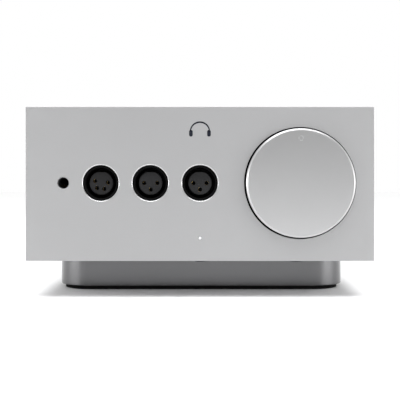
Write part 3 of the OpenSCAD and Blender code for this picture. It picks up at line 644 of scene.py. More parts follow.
# %% Volume knob
knob_low, knob_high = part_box("volume_knob")
knob_r = (knob_high[0] - knob_low[0]) / 2
knob_depth = face_y - knob_low[1] + 2.4 * MM
BORE_FRONT = -1.6 * MM
SET_SCREW_Y = face_y - 2 * MM
KNOB_CHAMFER = 1.05 * MM
HOLLOW_R = 1.35 * MM
HOLLOW_DEPTH = 0.3 * MM
HOLLOW_FROM_AXIS = 28 * MM
HUB_R = 6.5 * MM
HUB_DEPTH = 2.4 * MM

bm = bmesh.new()
knob_back = -knob_depth
knob_profile = soften([
    (0, 0, 0), (knob_r - KNOB_CHAMFER, 0, 0.25 * MM), (knob_r, -KNOB_CHAMFER, 0.25 * MM),
    (knob_r, knob_low[1] - face_y, 0), (knob_r, knob_back, 0.4 * MM), (HUB_R, knob_back, 0.3 * MM),
    (HUB_R, knob_back - HUB_DEPTH, 0.3 * MM),
    (3.02 * MM, knob_back - HUB_DEPTH, 0), (3.02 * MM, BORE_FRONT, 0), (0, BORE_FRONT, 0),
])
at_knob_face = place("front", knob_centre.x, knob_low[1], axis_z)
add_turned(bm, knob_profile, at_knob_face, steps=256)
volume_knob = new_object("volume_dial", bm)
hollow = bmesh.new()
at_hollow = place("front", knob_centre.x, knob_low[1], axis_z + HOLLOW_FROM_AXIS)
add_hole(hollow, HOLLOW_R, HOLLOW_DEPTH, at_hollow, mouth=0.2 * MM, steps=48)
carve(volume_knob, hollow)
hole = bmesh.new()
at_set_screw = place("down", knob_centre.x, SET_SCREW_Y, axis_z - knob_r)
add_hole(hole, 1.6 * MM, 32 * MM, at_set_screw, mouth=0.15 * MM, steps=32)
carve(volume_knob, hole)
finish_piece(volume_knob, silver_knob, "volume_control", "silver_aluminium", "volume_knob")


def on_knob_back_painted_shade(point, normal):
    return point.y > face_y and from_axis(point, knob_centre.x) > HUB_R


# Painted shade: the knob's back is near black, like the pocket it stands in.
refinish(volume_knob, shell_coating, on_knob_back_painted_shade)

# %% [markdown]
# ## Plinth and foot ring
# The case stands on a smaller plinth with generous upright corners, set well back so that the case seems to float.
# Both the plinth and the rubber ring under it are one rounded outline at several heights. Near the lower edge the
# outline shrinks along a quarter circle, which gives a true rolled edge that a bevel on so many edges wouldn't.

# %% Plinth
plinth_low, plinth_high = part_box("plinth")
plinth_size = extent("plinth")
plinth_middle = middle("plinth")
PLINTH_CORNER = 24 * MM
PLINTH_ROLL = 0.5 * MM


def rolled_edge(roll, from_z, up, steps=6):
    """(inset, height) pairs for a rounded edge from from_z on. up is 1 for a lower edge and -1 for an upper one."""
    angles = [math.pi / 2 * i / steps for i in range(steps + 1)]
    return [(roll * (1 - math.sin(a)), from_z + up * roll * (1 - math.cos(a))) for a in angles]


levels = rolled_edge(PLINTH_ROLL, plinth_low[2], 1) + list(reversed(rolled_edge(0.4 * MM, plinth_high[2], -1)))
bm = bmesh.new()
outlines = [
    (rounded_rectangle(plinth_size.x - 2 * i, plinth_size.y - 2 * i, PLINTH_CORNER - i, 24), z)
    for i, z in levels
]
add_rings(bm, outlines, place("up", plinth_middle.x, plinth_middle.y, 0))
plinth = new_object("plinth_body", bm)
cutters = bmesh.new()
plinth_screw_low, plinth_screw_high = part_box("plinth_screws")
SCREW_INSET = 3.6 * MM
plinth_screw_places = [
    (x, y) for x in (plinth_screw_low[0] + SCREW_INSET, plinth_screw_high[0] - SCREW_INSET)
    for y in (plinth_screw_low[1] + SCREW_INSET, plinth_middle.y, plinth_screw_high[1] - SCREW_INSET)
]
for x, y in plinth_screw_places:
    add_hole(cutters, 4 * MM, 2.8 * MM, place("down", x, y, plinth_low[2]), mouth=0.3 * MM, steps=48)
carve(plinth, cutters)
cutters = bmesh.new()
for x, y in plinth_screw_places:
    add_hole(cutters, 2.1 * MM, 30 * MM, place("down", x, y, plinth_low[2] + 2.8 * MM), mouth=0.05 * MM, steps=32)
carve(plinth, cutters)
finish_piece(plinth, plinth_painted_shade, "case", "silver_aluminium", "plinth")

# %% Foot ring
ring_size = extent("foot_ring")
ring_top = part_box("foot_ring")[1][2]
RING_CORNER = 21 * MM
RING_WIDTH = 14 * MM
RING_ROLL = 0.35 * MM
outside = rolled_edge(RING_ROLL, 0, 1) + [(0, ring_top)]
inside = [(RING_WIDTH, ring_top)] + [(RING_WIDTH - i, z) for i, z in reversed(rolled_edge(RING_ROLL, 0, 1))]
bm = bmesh.new()
outlines = [
    (rounded_rectangle(ring_size.x - 2 * i, ring_size.y - 2 * i, RING_CORNER - i, 20), z)
    for i, z in outside + inside
]
add_rings(bm, outlines, place("up", plinth_middle.x, plinth_middle.y, 0), closed=True)
finish_piece(new_object("foot_ring_rubber", bm), foot_rubber, "case", "black_rubber", "foot_ring")

# %% [markdown]
# ## Round headphone sockets
# Each socket is a black die-cast cup with a round insulator standing in it. The insulator has a flat on top, so a
# plug only goes in one way round, and one hole for each contact. The four-pin socket's holes are turned a few
# degrees, because that layout isn't symmetrical about the flat.
# A socket is drawn once, by a function that takes its place and the angles of its holes, and it serves for the
# front and the rear.

# %% Socket shells
SHELL_R = SOCKET_HOLE_R - 0.1 * MM
SHELL_BORE = 9.6 * MM
SHELL_DEPTH = 24 * MM
SHELL_WALL = 2 * MM
INSERT_R = 7.5 * MM
INSERT_RECESS = 3 * MM
INSERT_FLAT = 6.9 * MM
CONTACT_RING = 4.2 * MM
THREE_PINS = [180, 0, 270]
FOUR_PINS = [270 - 7 + 67 * step for step in (-1.5, -0.5, 0.5, 1.5)]
FRONT_PINS = (FOUR_PINS, THREE_PINS, THREE_PINS)


def add_cup(bm, at, mouth):
    """The socket's cup, from its floor to its mouth."""
    floor_z = -SHELL_DEPTH
    profile = soften([
        (0, floor_z, 0), (SHELL_R, floor_z, 0.4 * MM), (SHELL_R, mouth, 0.45 * MM),
        (SHELL_R - 0.75 * MM, mouth, 0.25 * MM), (SHELL_BORE + 0.35 * MM, mouth - 0.5 * MM, 0.1 * MM),
        (SHELL_BORE, mouth - 1.6 * MM, 0.2 * MM), (SHELL_BORE, floor_z + SHELL_WALL, 0.2 * MM),
        (0, floor_z + SHELL_WALL, 0),
    ])
    add_turned(bm, profile, at, steps=128)


def socket_cup(name, at, mouth, flange_low, body_slot, *nodes):
    cup = new_object(name, drawn(add_cup, at, mouth))
    flange = new_object(name + "_flange", drawn(add_slab, 26 * MM, 31 * MM, flange_low, flange_low + 1.5 * MM, at,
                                                corner=3 * MM))
    holes = bmesh.new()
    top = at @ shift(0, 0, flange_low + 1.5 * MM)
    add_hole(holes, SHELL_R - 0.2 * MM, 3 * MM, top, mouth=0.01 * MM)
    for side in (1, -1):
        add_hole(holes, 1.6 * MM, 3 * MM, top @ shift(side * 9.5 * MM, side * 12 * MM, 0),
                 mouth=0.2 * MM, steps=32)
    carve(flange, holes)
    finish_piece(cup, shell_coating, "case", body_slot, *nodes)
    finish_piece(flange, shell_coating, "case", body_slot, *nodes)
    return cup, flange


front_flange = -13.5 * MM
for socket, at in zip(socket_nodes, socket_places):
    socket_cup(socket + "_cup", at, -0.4 * MM, front_flange, "black_zinc", socket + "_shell")

# %% Insulators
def socket_insulator(name, at, angles, *nodes):
    base = SHELL_WALL - SHELL_DEPTH
    top = -INSERT_RECESS
    bm = bmesh.new()
    profile = soften([
        (0, base, 0), (SHELL_BORE - 0.1 * MM, base, 0), (SHELL_BORE - 0.1 * MM, base + 2.5 * MM, 0.2 * MM),
        (INSERT_R, base + 2.5 * MM, 0), (INSERT_R, top, 0.5 * MM), (0, top, 0),
    ])
    add_turned(bm, profile, at, steps=128)
    insulator = new_object(name, bm)
    flat = bmesh.new()
    flat_at = at @ shift(0, INSERT_FLAT + 5 * MM, 0)
    add_slab(flat, 20 * MM, 10 * MM, base + 2.6 * MM, top + 5 * MM, flat_at, corner=0.2 * MM)
    carve(insulator, flat)
    holes = bmesh.new()
    for angle in angles:
        spot = turn_about("Z", math.radians(angle)) @ shift(CONTACT_RING, 0, top)
        add_hole(holes, 1.3 * MM, 6 * MM, at @ spot, mouth=0.2 * MM, steps=40)
    carve(insulator, holes)
    return finish_piece(insulator, insert_moulding, "case", "dark_insulator", *nodes)


for socket, at, angles in zip(socket_nodes, socket_places, FRONT_PINS):
    socket_insulator(socket + "_insulator", at, angles, socket + "_insert")

# %% [markdown]
# ## Jack socket and status light
# The jack socket has a round nose in the small hole at the left end of the row. Its bore and its inside are turned;
# the body behind the panel is a plain moulded block. The status light is the polished end of a clear rod that
# leads light from the board to the face, so it gets a domed end and a little glow.

# %% Jack socket
at_jack = place("front", jack_x, face_y, axis_z)
bm = bmesh.new()
nose = soften(mm((6, -12, 0), (6, -2, 0.4), (3.2, -2, 0.5), (3.2, -11, 0.1), (4.6, -11, 0.1), (4.6, -12, 0)))
add_turned(bm, nose, at_jack, steps=64, closed=True)
jack_body = new_object("jack_nose", bm)
finish_piece(jack_body, black_moulding, "case", "black_moulding", "jack_socket_body")
jack_block = new_object("jack_body", drawn(add_slab, 17 * MM, 17 * MM, -46 * MM, -12 * MM, at_jack, corner=1 * MM,
                                           edge=0.5 * MM))
carve(jack_block, drawn(add_hole, 4.6 * MM, 32 * MM, at_jack @ shift(0, 0, -12 * MM), mouth=0.1 * MM, steps=64))
finish_piece(jack_block, black_moulding, "case", "black_moulding", "jack_socket_body")

# %% Status light
LIGHT_R = 0.9 * MM
CORE_R = 0.5 * MM
clear_rod = finish("clear_rod", (0.3, 0.31, 0.32), 0.15)
between(clear_rod, noise(clear_rod, 900), 0.1, 0.25, shader_of(clear_rod).inputs["Roughness"])
glow = finish("status_glow", (0.95, 0.97, 1.0), 0.2)
glow_shader = shader_of(glow)
glow_shader.inputs["Emission Color"].default_value = (0.93, 0.97, 1.0, 1)
glow_shader.inputs["Emission Strength"].default_value = 4.0
between(glow, noise(glow, 900), 0.15, 0.3, glow_shader.inputs["Roughness"])
for name, radius, front, length, material in (
    ("status_light", LIGHT_R, -0.45 * MM, 14.5 * MM, clear_rod),
    ("status_light_core", CORE_R, -0.2 * MM, 1 * MM, glow),
):
    bm = bmesh.new()
    dome = [(radius * math.sin(a), front - 0.2 * MM * (1 - math.cos(a))) for a in
            (math.pi / 2 * i / 6 for i in range(7))]
    dome[0] = (0, front)
    add_turned(bm, dome + [(radius, front - length), (0, front - length)], place("front", 0, face_y, light_z), 32)
    finish_piece(new_object(name, bm), material, "case", "clear_light_pipe", "status_light_pipe")

# %% [markdown]
# ## Mark on the front
# A small dark mark sits above the middle socket. Here it is a plain line drawing of a pair of headphones: a band and
# two cushions. It is printed ink, so it is a flat shape a few hundredths of a millimetre thick, made as a ribbon
# that follows an arc, and two rounded slabs.

# %% Headphone mark
INK = 0.02 * MM
MARK_HALF_WIDTH = 6.6 * MM
MARK_RISE = 34.1 * MM
ink = moulded("printed_ink", (0.008, 0.009, 0.014), 0.6, 4000, 0.005 * MM)
shader_of(ink).inputs["Specular IOR Level"].default_value = 0.1
at_mark = place("front", 0, face_y, axis_z + MARK_RISE - 1.6 * MM)
bm = bmesh.new()


def add_band(bm, at, half_width, rise, thin, thick, steps=48):
    """A crescent ribbon from one cushion over the top to the other."""
    sections = []
    for i in range(steps + 1):
        angle = math.pi * i / steps
        width = thin + (thick - thin) * math.sin(angle)
        direction = Vector((math.cos(angle), math.sin(angle)))
        middle_point = Vector((half_width * math.cos(angle), rise * math.sin(angle)))
        sections.append((middle_point - direction * width / 2, middle_point + direction * width / 2))
    outline = [a for a, b in sections] + [b for a, b in reversed(sections)]
    add_rings(bm, [(outline, -INK), (outline, INK)], at)


add_band(bm, at_mark, MARK_HALF_WIDTH - 0.6 * MM, 5.9 * MM, 0.75 * MM, 1.0 * MM)
for side in (-1, 1):
    cushion = at_mark @ shift(side * (MARK_HALF_WIDTH - 0.9 * MM), -1.1 * MM, 0)
    add_slab(bm, 2.3 * MM, 4.2 * MM, -INK, INK, cushion, corner=1.1 * MM, edge=0.005 * MM)
finish_piece(new_object("headphone_mark", bm), ink, "case", "black_moulding")

# %% [markdown]
# ## Buttons under the front edge
# Two domed push buttons hang through the floor of the case, just behind its front edge, where a fingertip finds
# them. Each rides on its own body, so that it can be pressed. A turned profile gives the dome, the stem, and the
# flange inside that keeps the button from falling out.

# %% Push buttons
def push_button(name, node):
    low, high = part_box(node)
    centre = middle(node)
    tip = low[2]
    flange_low = high[2] - 3 * MM
    dome = [(5 * MM * math.sin(a), tip + 1.2 * MM * (1 - math.cos(a))) for a in
            (math.pi / 2 * i / 10 for i in range(11))]
    dome[0] = (0, tip)
    rest = soften([
        (5 * MM, tip + 1.3 * MM, 0), (5 * MM, flange_low, 0.2 * MM), (6.5 * MM, flange_low, 0.2 * MM),
        (6.5 * MM, flange_low + 1.4 * MM, 0.2 * MM), (1.6 * MM, flange_low + 1.4 * MM, 0.2 * MM),
        (1.6 * MM, high[2], 0.2 * MM), (0, high[2], 0),
    ])
    profile = dome + [tuple(p) for p in rest]
    button = new_object(name, drawn(add_turned, profile, place("up", centre.x, centre.y, 0), steps=64))
    return finish_piece(button, black_moulding, node, "black_moulding", node)


push_button("power_push", "power_button")
push_button("function_push", "function_button")

# %% [markdown]
# ## Copies of one model
# Screws, contacts, slots and chips are all drawn once and copied. The copying is done by a Geometry Nodes tree: each
# point of a small guide mesh gets one copy of the model, turned the way that the point says, and spun about its own
# axis by a random angle. Real screws never stop at the same angle, so that spin matters. The seed is fixed, so the
# result is the same every time.

# %% A tree that copies a model to points
def link_all(tree, *pairs):
    for source, target in pairs:
        tree.links.new(source, target)


def copies_tree(name, *inputs):
    """What both trees share: a copy of the model at each point, made real and given its finish."""
    tree = bpy.data.node_groups.new(name, "GeometryNodeTree")
    tree.interface.new_socket("Geometry", in_out="INPUT", socket_type="NodeSocketGeometry")
    for label, kind in (("Model", "Object"), ("Finish", "Material"), *inputs):
        tree.interface.new_socket(label, in_out="INPUT", socket_type="NodeSocket" + kind)
    tree.interface.new_socket("Geometry", in_out="OUTPUT", socket_type="NodeSocketGeometry")
    given, result, model, copy, real, coat = (tree.nodes.new(kind) for kind in (
        "NodeGroupInput", "NodeGroupOutput", "GeometryNodeObjectInfo", "GeometryNodeInstanceOnPoints",
        "GeometryNodeRealizeInstances", "GeometryNodeSetMaterial"))
    link_all(
        tree,
        (given.outputs["Model"], model.inputs["Object"]),
        (model.outputs["Geometry"], copy.inputs["Instance"]),
        (copy.outputs[0], real.inputs[0]),
        (real.outputs[0], coat.inputs["Geometry"]),
        (given.outputs["Finish"], coat.inputs["Material"]),
        (coat.outputs[0], result.inputs[0]),
    )
    return tree, given, copy


def spun_copies_tree():
    tree, given, copy = copies_tree("copies_at_points", ("Most spin", "Float"), ("Seed", "Int"))
    turned = tree.nodes.new("GeometryNodeInputNamedAttribute")
    turned.data_type = "FLOAT_VECTOR"
    turned.inputs["Name"].default_value = "turned"
    facing = tree.nodes.new("FunctionNodeEulerToRotation")
    chance = tree.nodes.new("FunctionNodeRandomValue")
    chance.data_type = "FLOAT"
    spin = tree.nodes.new("ShaderNodeCombineXYZ")
    spin_turn = tree.nodes.new("FunctionNodeEulerToRotation")
    both = tree.nodes.new("FunctionNodeRotateRotation")
    both.rotation_space = "LOCAL"
    link_all(
        tree,
        (turned.outputs["Attribute"], facing.inputs[0]),
        (given.outputs["Most spin"], chance.inputs[3]),
        (given.outputs["Seed"], chance.inputs["Seed"]),
        (chance.outputs[1], spin.inputs["Z"]),
        (spin.outputs[0], spin_turn.inputs[0]),
        (facing.outputs[0], both.inputs[0]),
        (spin_turn.outputs[0], both.inputs[1]),
        (given.outputs["Geometry"], copy.inputs["Points"]),
        (both.outputs[0], copy.inputs["Rotation"]),
    )
    return tree


COPIES = spun_copies_tree()


def add_tree(piece, tree, values):
    modifier = piece.modifiers.new(tree.name, "NODES")
    modifier.node_group = tree
    for item in tree.interface.items_tree:
        if item.in_out == "INPUT" and item.name in values:
            modifier[item.identifier] = values[item.name]
    return bake(piece)


def copies_of(name, model, spots, material, spin=0.0, seed=5):
    """One object with a copy of the model at each spot. The model itself is used up."""
    guide = bpy.data.meshes.new(name)
    guide.from_pydata([spot.translation for spot in spots], [], [])
    turned = guide.attributes.new("turned", "FLOAT_VECTOR", "POINT")
    turned.data.foreach_set("vector", [angle for spot in spots for angle in spot.to_euler()])
    piece = bpy.data.objects.new(name, guide)
    bpy.context.collection.objects.link(piece)
    add_tree(piece, COPIES, {"Model": model, "Finish": material, "Most spin": spin, "Seed": seed})
    bpy.data.objects.remove(model)
    return piece


print("tree:", COPIES.name)

# %% [markdown]
# ## Cover
# The cover is one sheet, three millimetres thick, bent over the top and both sides. Slots in its sides let warm air
# out. Its outline is softened first and then drawn out along the whole depth; a bevel takes the sharpness off its two
# ends. The slots are a row that a second small tree makes from a count and a pitch, cut out all at once.

# %% Cover outline
case_w = case_high[0] - case_low[0]
case_z = case_low[2]
top_z = case_high[2]
INNER_X = case_w / 2 - 3 * MM
INNER_TOP = top_z - 3 * MM
rear_inner_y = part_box("rear_panel")[0][1]
rear_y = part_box("rear_panel")[1][1]
cover_outline = soften([
    (0, top_z, 0), (case_w / 2, top_z, 0.7 * MM), (case_w / 2, case_z, 0.3 * MM), (INNER_X, case_z, 0.3 * MM),
    (INNER_X, INNER_TOP, 0.6 * MM), (-INNER_X, INNER_TOP, 0.6 * MM), (-INNER_X, case_z, 0.3 * MM),
    (-case_w / 2, case_z, 0.3 * MM), (-case_w / 2, top_z, 0.7 * MM), (0, top_z, 0),
])[:-1]


bm = bmesh.new()
cover_depth = back_y - panel_back_y
add_rings(bm, [(cover_outline, -cover_depth), (cover_outline, 0)], place("rear", 0, back_y, 0))
cover = new_object("wrap_cover", bm)
bevel = cover.modifiers.new("soft_edges", "BEVEL")
bevel.width = 0.35 * MM
bevel.segments = 3
bevel.limit_method = "ANGLE"
bevel.angle_limit = math.radians(50)
bake(cover)
for side in (-1, 1):
    lug_bm = bmesh.new()
    lug_at = place("rear", side * 70 * MM, rear_inner_y, INNER_TOP - 3.5 * MM)
    add_slab(lug_bm, 10 * MM, 9 * MM, -10 * MM, 0, lug_at, corner=0.5 * MM)
    combine(cover, new_object("lug", lug_bm), "UNION")
print("cover outline:", len(cover_outline), "points")

# %% Cooling slots
VENT_COUNT = 28
VENT_PITCH = 7.5 * MM
VENT_W = 3 * MM
VENT_H = 44 * MM
vent_first_y = face_y + 78 * MM


def row_tree():
    """A row of copies of a model along Y, from a count and a pitch."""
    tree, given, copy = copies_tree("row_of_slots", ("Count", "Int"), ("Start", "Vector"), ("Step", "Vector"))
    line = tree.nodes.new("GeometryNodeMeshLine")
    link_all(
        tree,
        (given.outputs["Count"], line.inputs["Count"]),
        (given.outputs["Start"], line.inputs["Start Location"]),
        (given.outputs["Step"], line.inputs["Offset"]),
        (line.outputs["Mesh"], copy.inputs["Points"]),
    )
    return tree


ROW = row_tree()


def row_of(name, model, count, start, step, material):
    piece = new_object(name, bmesh.new())
    add_tree(piece, ROW, {"Model": model, "Finish": material, "Count": count, "Start": start, "Step": step})
    bpy.data.objects.remove(model)
    return piece


def slot_cutter(side):
    """A slot whose mouth flares by a small radius where it meets the outer face of the cover."""
    flare = 0.3 * MM
    rings = [(rounded_rectangle(VENT_W + 2 * flare, VENT_H + 2 * flare, VENT_W / 2 + flare, 6), 2 * MM)]
    for turn in range(4):
        angle = math.pi / 2 * turn / 3
        spread = flare * (1 - math.sin(angle))
        outline = rounded_rectangle(VENT_W + 2 * spread, VENT_H + 2 * spread, VENT_W / 2 + spread, 6)
        rings.append((outline, -flare * (1 - math.cos(angle))))
    rings.append((rounded_rectangle(VENT_W, VENT_H, VENT_W / 2, 6), -5 * MM))
    slot_bm = bmesh.new()
    at = place("right", case_w / 2, 0, 0)
    if side < 0:
        at = turn_about("Z", math.pi) @ at
    add_rings(slot_bm, rings, at)
    return new_object("slot", slot_bm)


for side in (-1, 1):
    row = row_of("slots", slot_cutter(side), VENT_COUNT, (0, vent_first_y, axis_z), (0, VENT_PITCH, 0), silver_case)
    combine(cover, row, "DIFFERENCE")
holes = bmesh.new()
for side in (-1, 1):
    screw_at = place("rear", side * 70 * MM, rear_inner_y, INNER_TOP - 4 * MM)
    add_hole(holes, 1.6 * MM, 12 * MM, screw_at, 0.2 * MM, 32)
carve(cover, holes)
finish_piece(cover, silver_case, "case", "silver_aluminium", "cover")

# %% [markdown]
# ## Floor tray, rails and rear panel
# The floor tray and the rear panel are sheet metal: an outline with holes. The tray's screw holes are countersunk
# from below. Two square rails inside the lower corners take the screws that hold cover and tray together.
# Each is a softened slab with turned cutters taken out of it.

# %% Floor tray
tray_low, tray_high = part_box("base_tray")
TRAY_T = 3 * MM
bm = bmesh.new()
tray_w = tray_high[0] - tray_low[0]
tray_d = tray_high[1] - tray_low[1]
add_slab(bm, tray_w, tray_d, 0, TRAY_T, place("up", 0, (tray_low[1] + tray_high[1]) / 2, case_z), 0.5 * MM,
         0.25 * MM)
tray = new_object("floor_tray", bm)
flange = bmesh.new()
flange_w = tray_w - 16 * MM
flange_top = tray_high[2]
flange_at = place("rear", 0, rear_inner_y, (case_z + 0.5 * MM + flange_top) / 2)
add_slab(flange, flange_w, flange_top - case_z - 0.5 * MM, -1.5 * MM, 0, flange_at, 0.5 * MM, 0.2 * MM)
combine(tray, new_object("flange", flange), "UNION")
tray_screw_x = (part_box("tray_screws")[1][0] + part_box("tray_screws")[0][0]) / 2 + INNER_X - 4 * MM
tray_screw_ys = [face_y + 22 * MM + i * 73.5 * MM for i in range(5)]
cutters = bmesh.new()
for x in (-tray_screw_x, tray_screw_x):
    for y in tray_screw_ys:
        countersink = mm((0, 1), (3.3, 1), (3.2, -0.1), (1.6, -1.6), (1.6, -5), (0, -5))
        add_turned(cutters, countersink, place("down", x, y, case_z), steps=32)
for x, y in plinth_screw_places:
    add_hole(cutters, 2.1 * MM, 5 * MM, place("down", x, y, case_z), 0.1 * MM, 32)
for node in ("power_button", "function_button"):
    spot = middle(node)
    add_hole(cutters, 5.3 * MM, 5 * MM, place("down", spot.x, spot.y, case_z), 0.3 * MM, 64)
bolt_x, bolt_y = middle("transformer_bolt").x, middle("transformer_bolt").y
add_hole(cutters, 3.1 * MM, 5 * MM, place("down", bolt_x, bolt_y, case_z), 0.1 * MM, 32)
low_screw_z = case_z + 8 * MM
for x in (-92 * MM, 0, 92 * MM):
    add_hole(cutters, 1.6 * MM, 3 * MM, place("rear", x, rear_inner_y, low_screw_z), 0.1 * MM, 32)
carve(tray, cutters)
finish_piece(tray, grey_chassis, "case", "grey_plate", "base_tray")

# %% Rails
rail_low, rail_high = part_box("cover_rails")
rails_bm = bmesh.new()
for x in (-tray_screw_x, tray_screw_x):
    rail_at = place("up", x, (rail_low[1] + rail_high[1]) / 2, rail_low[2])
    add_slab(rails_bm, 8 * MM, rail_high[1] - rail_low[1], 0, 10 * MM, rail_at, 0.5 * MM, 0.3 * MM, steps=3)
rails = new_object("corner_rails", rails_bm)
cutters = bmesh.new()
for x in (-tray_screw_x, tray_screw_x):
    for y in tray_screw_ys:
        add_hole(cutters, 1.6 * MM, 9 * MM, place("down", x, y, rail_low[2]), 0.15 * MM, 24)
carve(rails, cutters)
finish_piece(rails, grey_chassis, "case", "grey_plate", "cover_rails")

# %% [markdown]
# The rear panel carries all the connections. From the outside one sees, on the left, the mains inlet with its switch
# above it, then two sockets that link this unit to others, and then two round input sockets over four phono sockets.
# The mains column's place is read from the frame; the other holes stand at places listed here.

# %% Rear panel
rear_low, rear_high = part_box("rear_panel")
bm = bmesh.new()
rear_w, rear_h = rear_high[0] - rear_low[0], rear_high[2] - rear_low[2]
add_slab(bm, rear_w, rear_h, -3 * MM, 0, place("rear", 0, rear_y, (rear_low[2] + rear_high[2]) / 2), 0.5 * MM,
         0.25 * MM)
rear_panel = new_object("rear_plate", bm)


def on_rear(x, z):
    return place("rear", x, rear_y, z)


INPUT_XS = [-30 * MM, -68 * MM]
INPUT_Z = axis_z + 15 * MM
PHONO_XS = [-24 * MM, -44 * MM, -68 * MM, -88 * MM]
PHONO_Z = case_z + 28 * MM
LINK_XS = [8 * MM, 32 * MM]
MAINS_X = middle("mains_inlet").x
INLET_Z = case_z + 36 * MM
SWITCH_Z = case_z + 76 * MM
FLANGE_SCREWS = [(side * 9.5 * MM, side * 12 * MM) for side in (1, -1)]
LATCH_RISE = 13.1 * MM
rear_screw_places = [(x, INNER_TOP - 4 * MM) for x in (-70 * MM, 70 * MM)]
rear_screw_places += [(x, low_screw_z) for x in (-92 * MM, 0, 92 * MM)]
cutters = bmesh.new()
for x in INPUT_XS:
    at = on_rear(x, INPUT_Z)
    add_hole(cutters, SOCKET_HOLE_R, 5 * MM, at, 0.2 * MM)
    for u, v in FLANGE_SCREWS:
        add_hole(cutters, 1.6 * MM, 5 * MM, at @ shift(u, v, 0), 0.1 * MM, 32)
for x in PHONO_XS:
    add_hole(cutters, 5 * MM, 5 * MM, on_rear(x, PHONO_Z), 0.2 * MM, 64)
for x, z in rear_screw_places:
    add_hole(cutters, 1.6 * MM, 5 * MM, on_rear(x, z), 0.2 * MM, 32)
carve(rear_panel, cutters)
cutters = bmesh.new()
for x in INPUT_XS:
    at = on_rear(x, INPUT_Z + 12.15 * MM)
    add_slab(cutters, 8.4 * MM, 5.5 * MM, -5 * MM, 2 * MM, at, 0.2 * MM)
for x in LINK_XS:
    add_slab(cutters, 16.6 * MM, 14.6 * MM, -5 * MM, 2 * MM, on_rear(x, PHONO_Z), 0.5 * MM)
add_slab(cutters, 27.8 * MM, 36.3 * MM, -5 * MM, 2 * MM, on_rear(MAINS_X, INLET_Z), 0.5 * MM)
add_slab(cutters, 13.3 * MM, 19.3 * MM, -5 * MM, 2 * MM, on_rear(MAINS_X, SWITCH_Z), 0.5 * MM)
carve(rear_panel, cutters)
finish_piece(rear_panel, grey_chassis, "case", "grey_plate", "rear_panel")

# %% [markdown]
# ## Screws
# Two kinds of screw hold the case: round-headed ones and flat ones that sit flush in the tray, all driven by a
# hexagon key. A thread is close enough to a stack of rings here, because it is hidden once the screw is in.

# %% Screw models
def screw_model(shank_r, shank_l, head_r, head_h):
    """A screw that stands on z = 0 with its shank below. A head_h of zero makes it a flat-headed one."""
    pitch = shank_r / 3
    profile = [(0, -shank_l), (shank_r * 0.75, -shank_l)]
    head_low = 0 if head_h else shank_r - head_r
    for i in range(int((shank_l + head_low) / pitch) - 1):
        z = -shank_l + pitch * (i + 1)
        profile += [(shank_r, z), (shank_r * 0.87, z + pitch / 2)]
    if head_h:
        head = soften([(shank_r, 0, 0), (head_r, 0, 0.08 * MM), (head_r, head_h, 0.45 * MM), (0, head_h, 0)])
    else:
        head = [(shank_r, head_low), (head_r, -0.12 * MM), (head_r - 0.12 * MM, 0), (0, 0)]
    model = new_object("screw", drawn(add_turned, profile + [tuple(p) for p in head], Matrix.Identity(4), steps=24))
    key_bm = bmesh.new()
    floor_z = head_h * 0.35 if head_h else -1 * MM
    hexagon = ring_of(shank_r * 0.75, 6)
    add_rings(key_bm, [(hexagon, floor_z), (hexagon, head_h + 1 * MM)], Matrix.Identity(4))
    return carve(model, key_bm)


def screws(name, shank_r, shank_l, head_r, head_h, spots, *nodes):
    model = screw_model(shank_r, shank_l, head_r, head_h)
    piece = copies_of(name, model, spots, black_steel, spin=math.tau)
    return finish_piece(piece, None, "case", "black_steel", *nodes)


screws("screws_of_plinth", 2 * MM, 21.5 * MM, 3.6 * MM, 2.4 * MM,
       [place("down", x, y, plinth_low[2] + 2.8 * MM) for x, y in plinth_screw_places], "plinth_screws")
screws("screws_of_tray", 1.5 * MM, 10 * MM, 3 * MM, 0,
       [place("down", x, y, case_z) for x in (-tray_screw_x, tray_screw_x) for y in tray_screw_ys], "tray_screws")
screws("screws_of_rear", 1.5 * MM, 8 * MM, 2.8 * MM, 1.7 * MM,
       [on_rear(x, z) for x, z in rear_screw_places], "rear_panel_screws")
bracket_back_y = panel_back_y + 2 * MM
screws("screws_of_bracket", 1.5 * MM, 7 * MM, 2.6 * MM, 1.6 * MM,
       [place("rear", x * MM, bracket_back_y, z) for x in (-92, -16, 24, 92)
        for z in (case_z + 9 * MM, top_z - 9 * MM)], "front_bracket_screws")
screws("screws_of_inputs", 1.5 * MM, 7 * MM, 2.6 * MM, 1.4 * MM,
       [on_rear(x, INPUT_Z) @ shift(u, v, 1.5 * MM) for x in INPUT_XS
        for u, v in FLANGE_SCREWS], "input_socket_screws")

# %% [markdown]
# ## Input sockets and contacts
# The rear input sockets are the same sockets as in front, with their flange outside the panel and a small metal
# latch above each mouth that holds the plug until it is pressed. The gold sleeves deep in all the holes are one
# model, copied to every angle of every socket.

# %% Input sockets
for number, x in enumerate(INPUT_XS, 1):
    at = on_rear(x, INPUT_Z)
    cup, flange = socket_cup(f"input_{number}_cup", at, 1.5 * MM, 0, "black_zinc", "input_shells")
    carve(flange, drawn(add_slab, 8.4 * MM, 3.6 * MM, -1 * MM, 3 * MM, at @ shift(0, LATCH_RISE, 0), 0.3 * MM))
    socket_insulator(f"input_{number}_insulator", at, THREE_PINS, "input_inserts")
for node, x in (("left_input_latch", INPUT_XS[1]), ("right_input_latch", INPUT_XS[0])):
    at = on_rear(x, INPUT_Z) @ shift(0, LATCH_RISE, 0)
    latch = new_object(node.replace("latch", "push_tab"), drawn(add_slab, 8 * MM, 3.2 * MM, -6.3 * MM, 3.7 * MM, at,
                                                                0.6 * MM, 0.35 * MM))
    grooves = bmesh.new()
    for step in (-1, 0, 1):
        groove_at = at @ shift(0, step * 0.9 * MM, 3.7 * MM) @ turn_about("Y", math.pi / 2)
        add_turned(grooves, mm((0, -5), (0.22, -5), (0.22, 5), (0, 5)), groove_at, 12)
    carve(latch, grooves)
    finish_piece(latch, zinc_steel, node, "zinc_plated_steel", node)

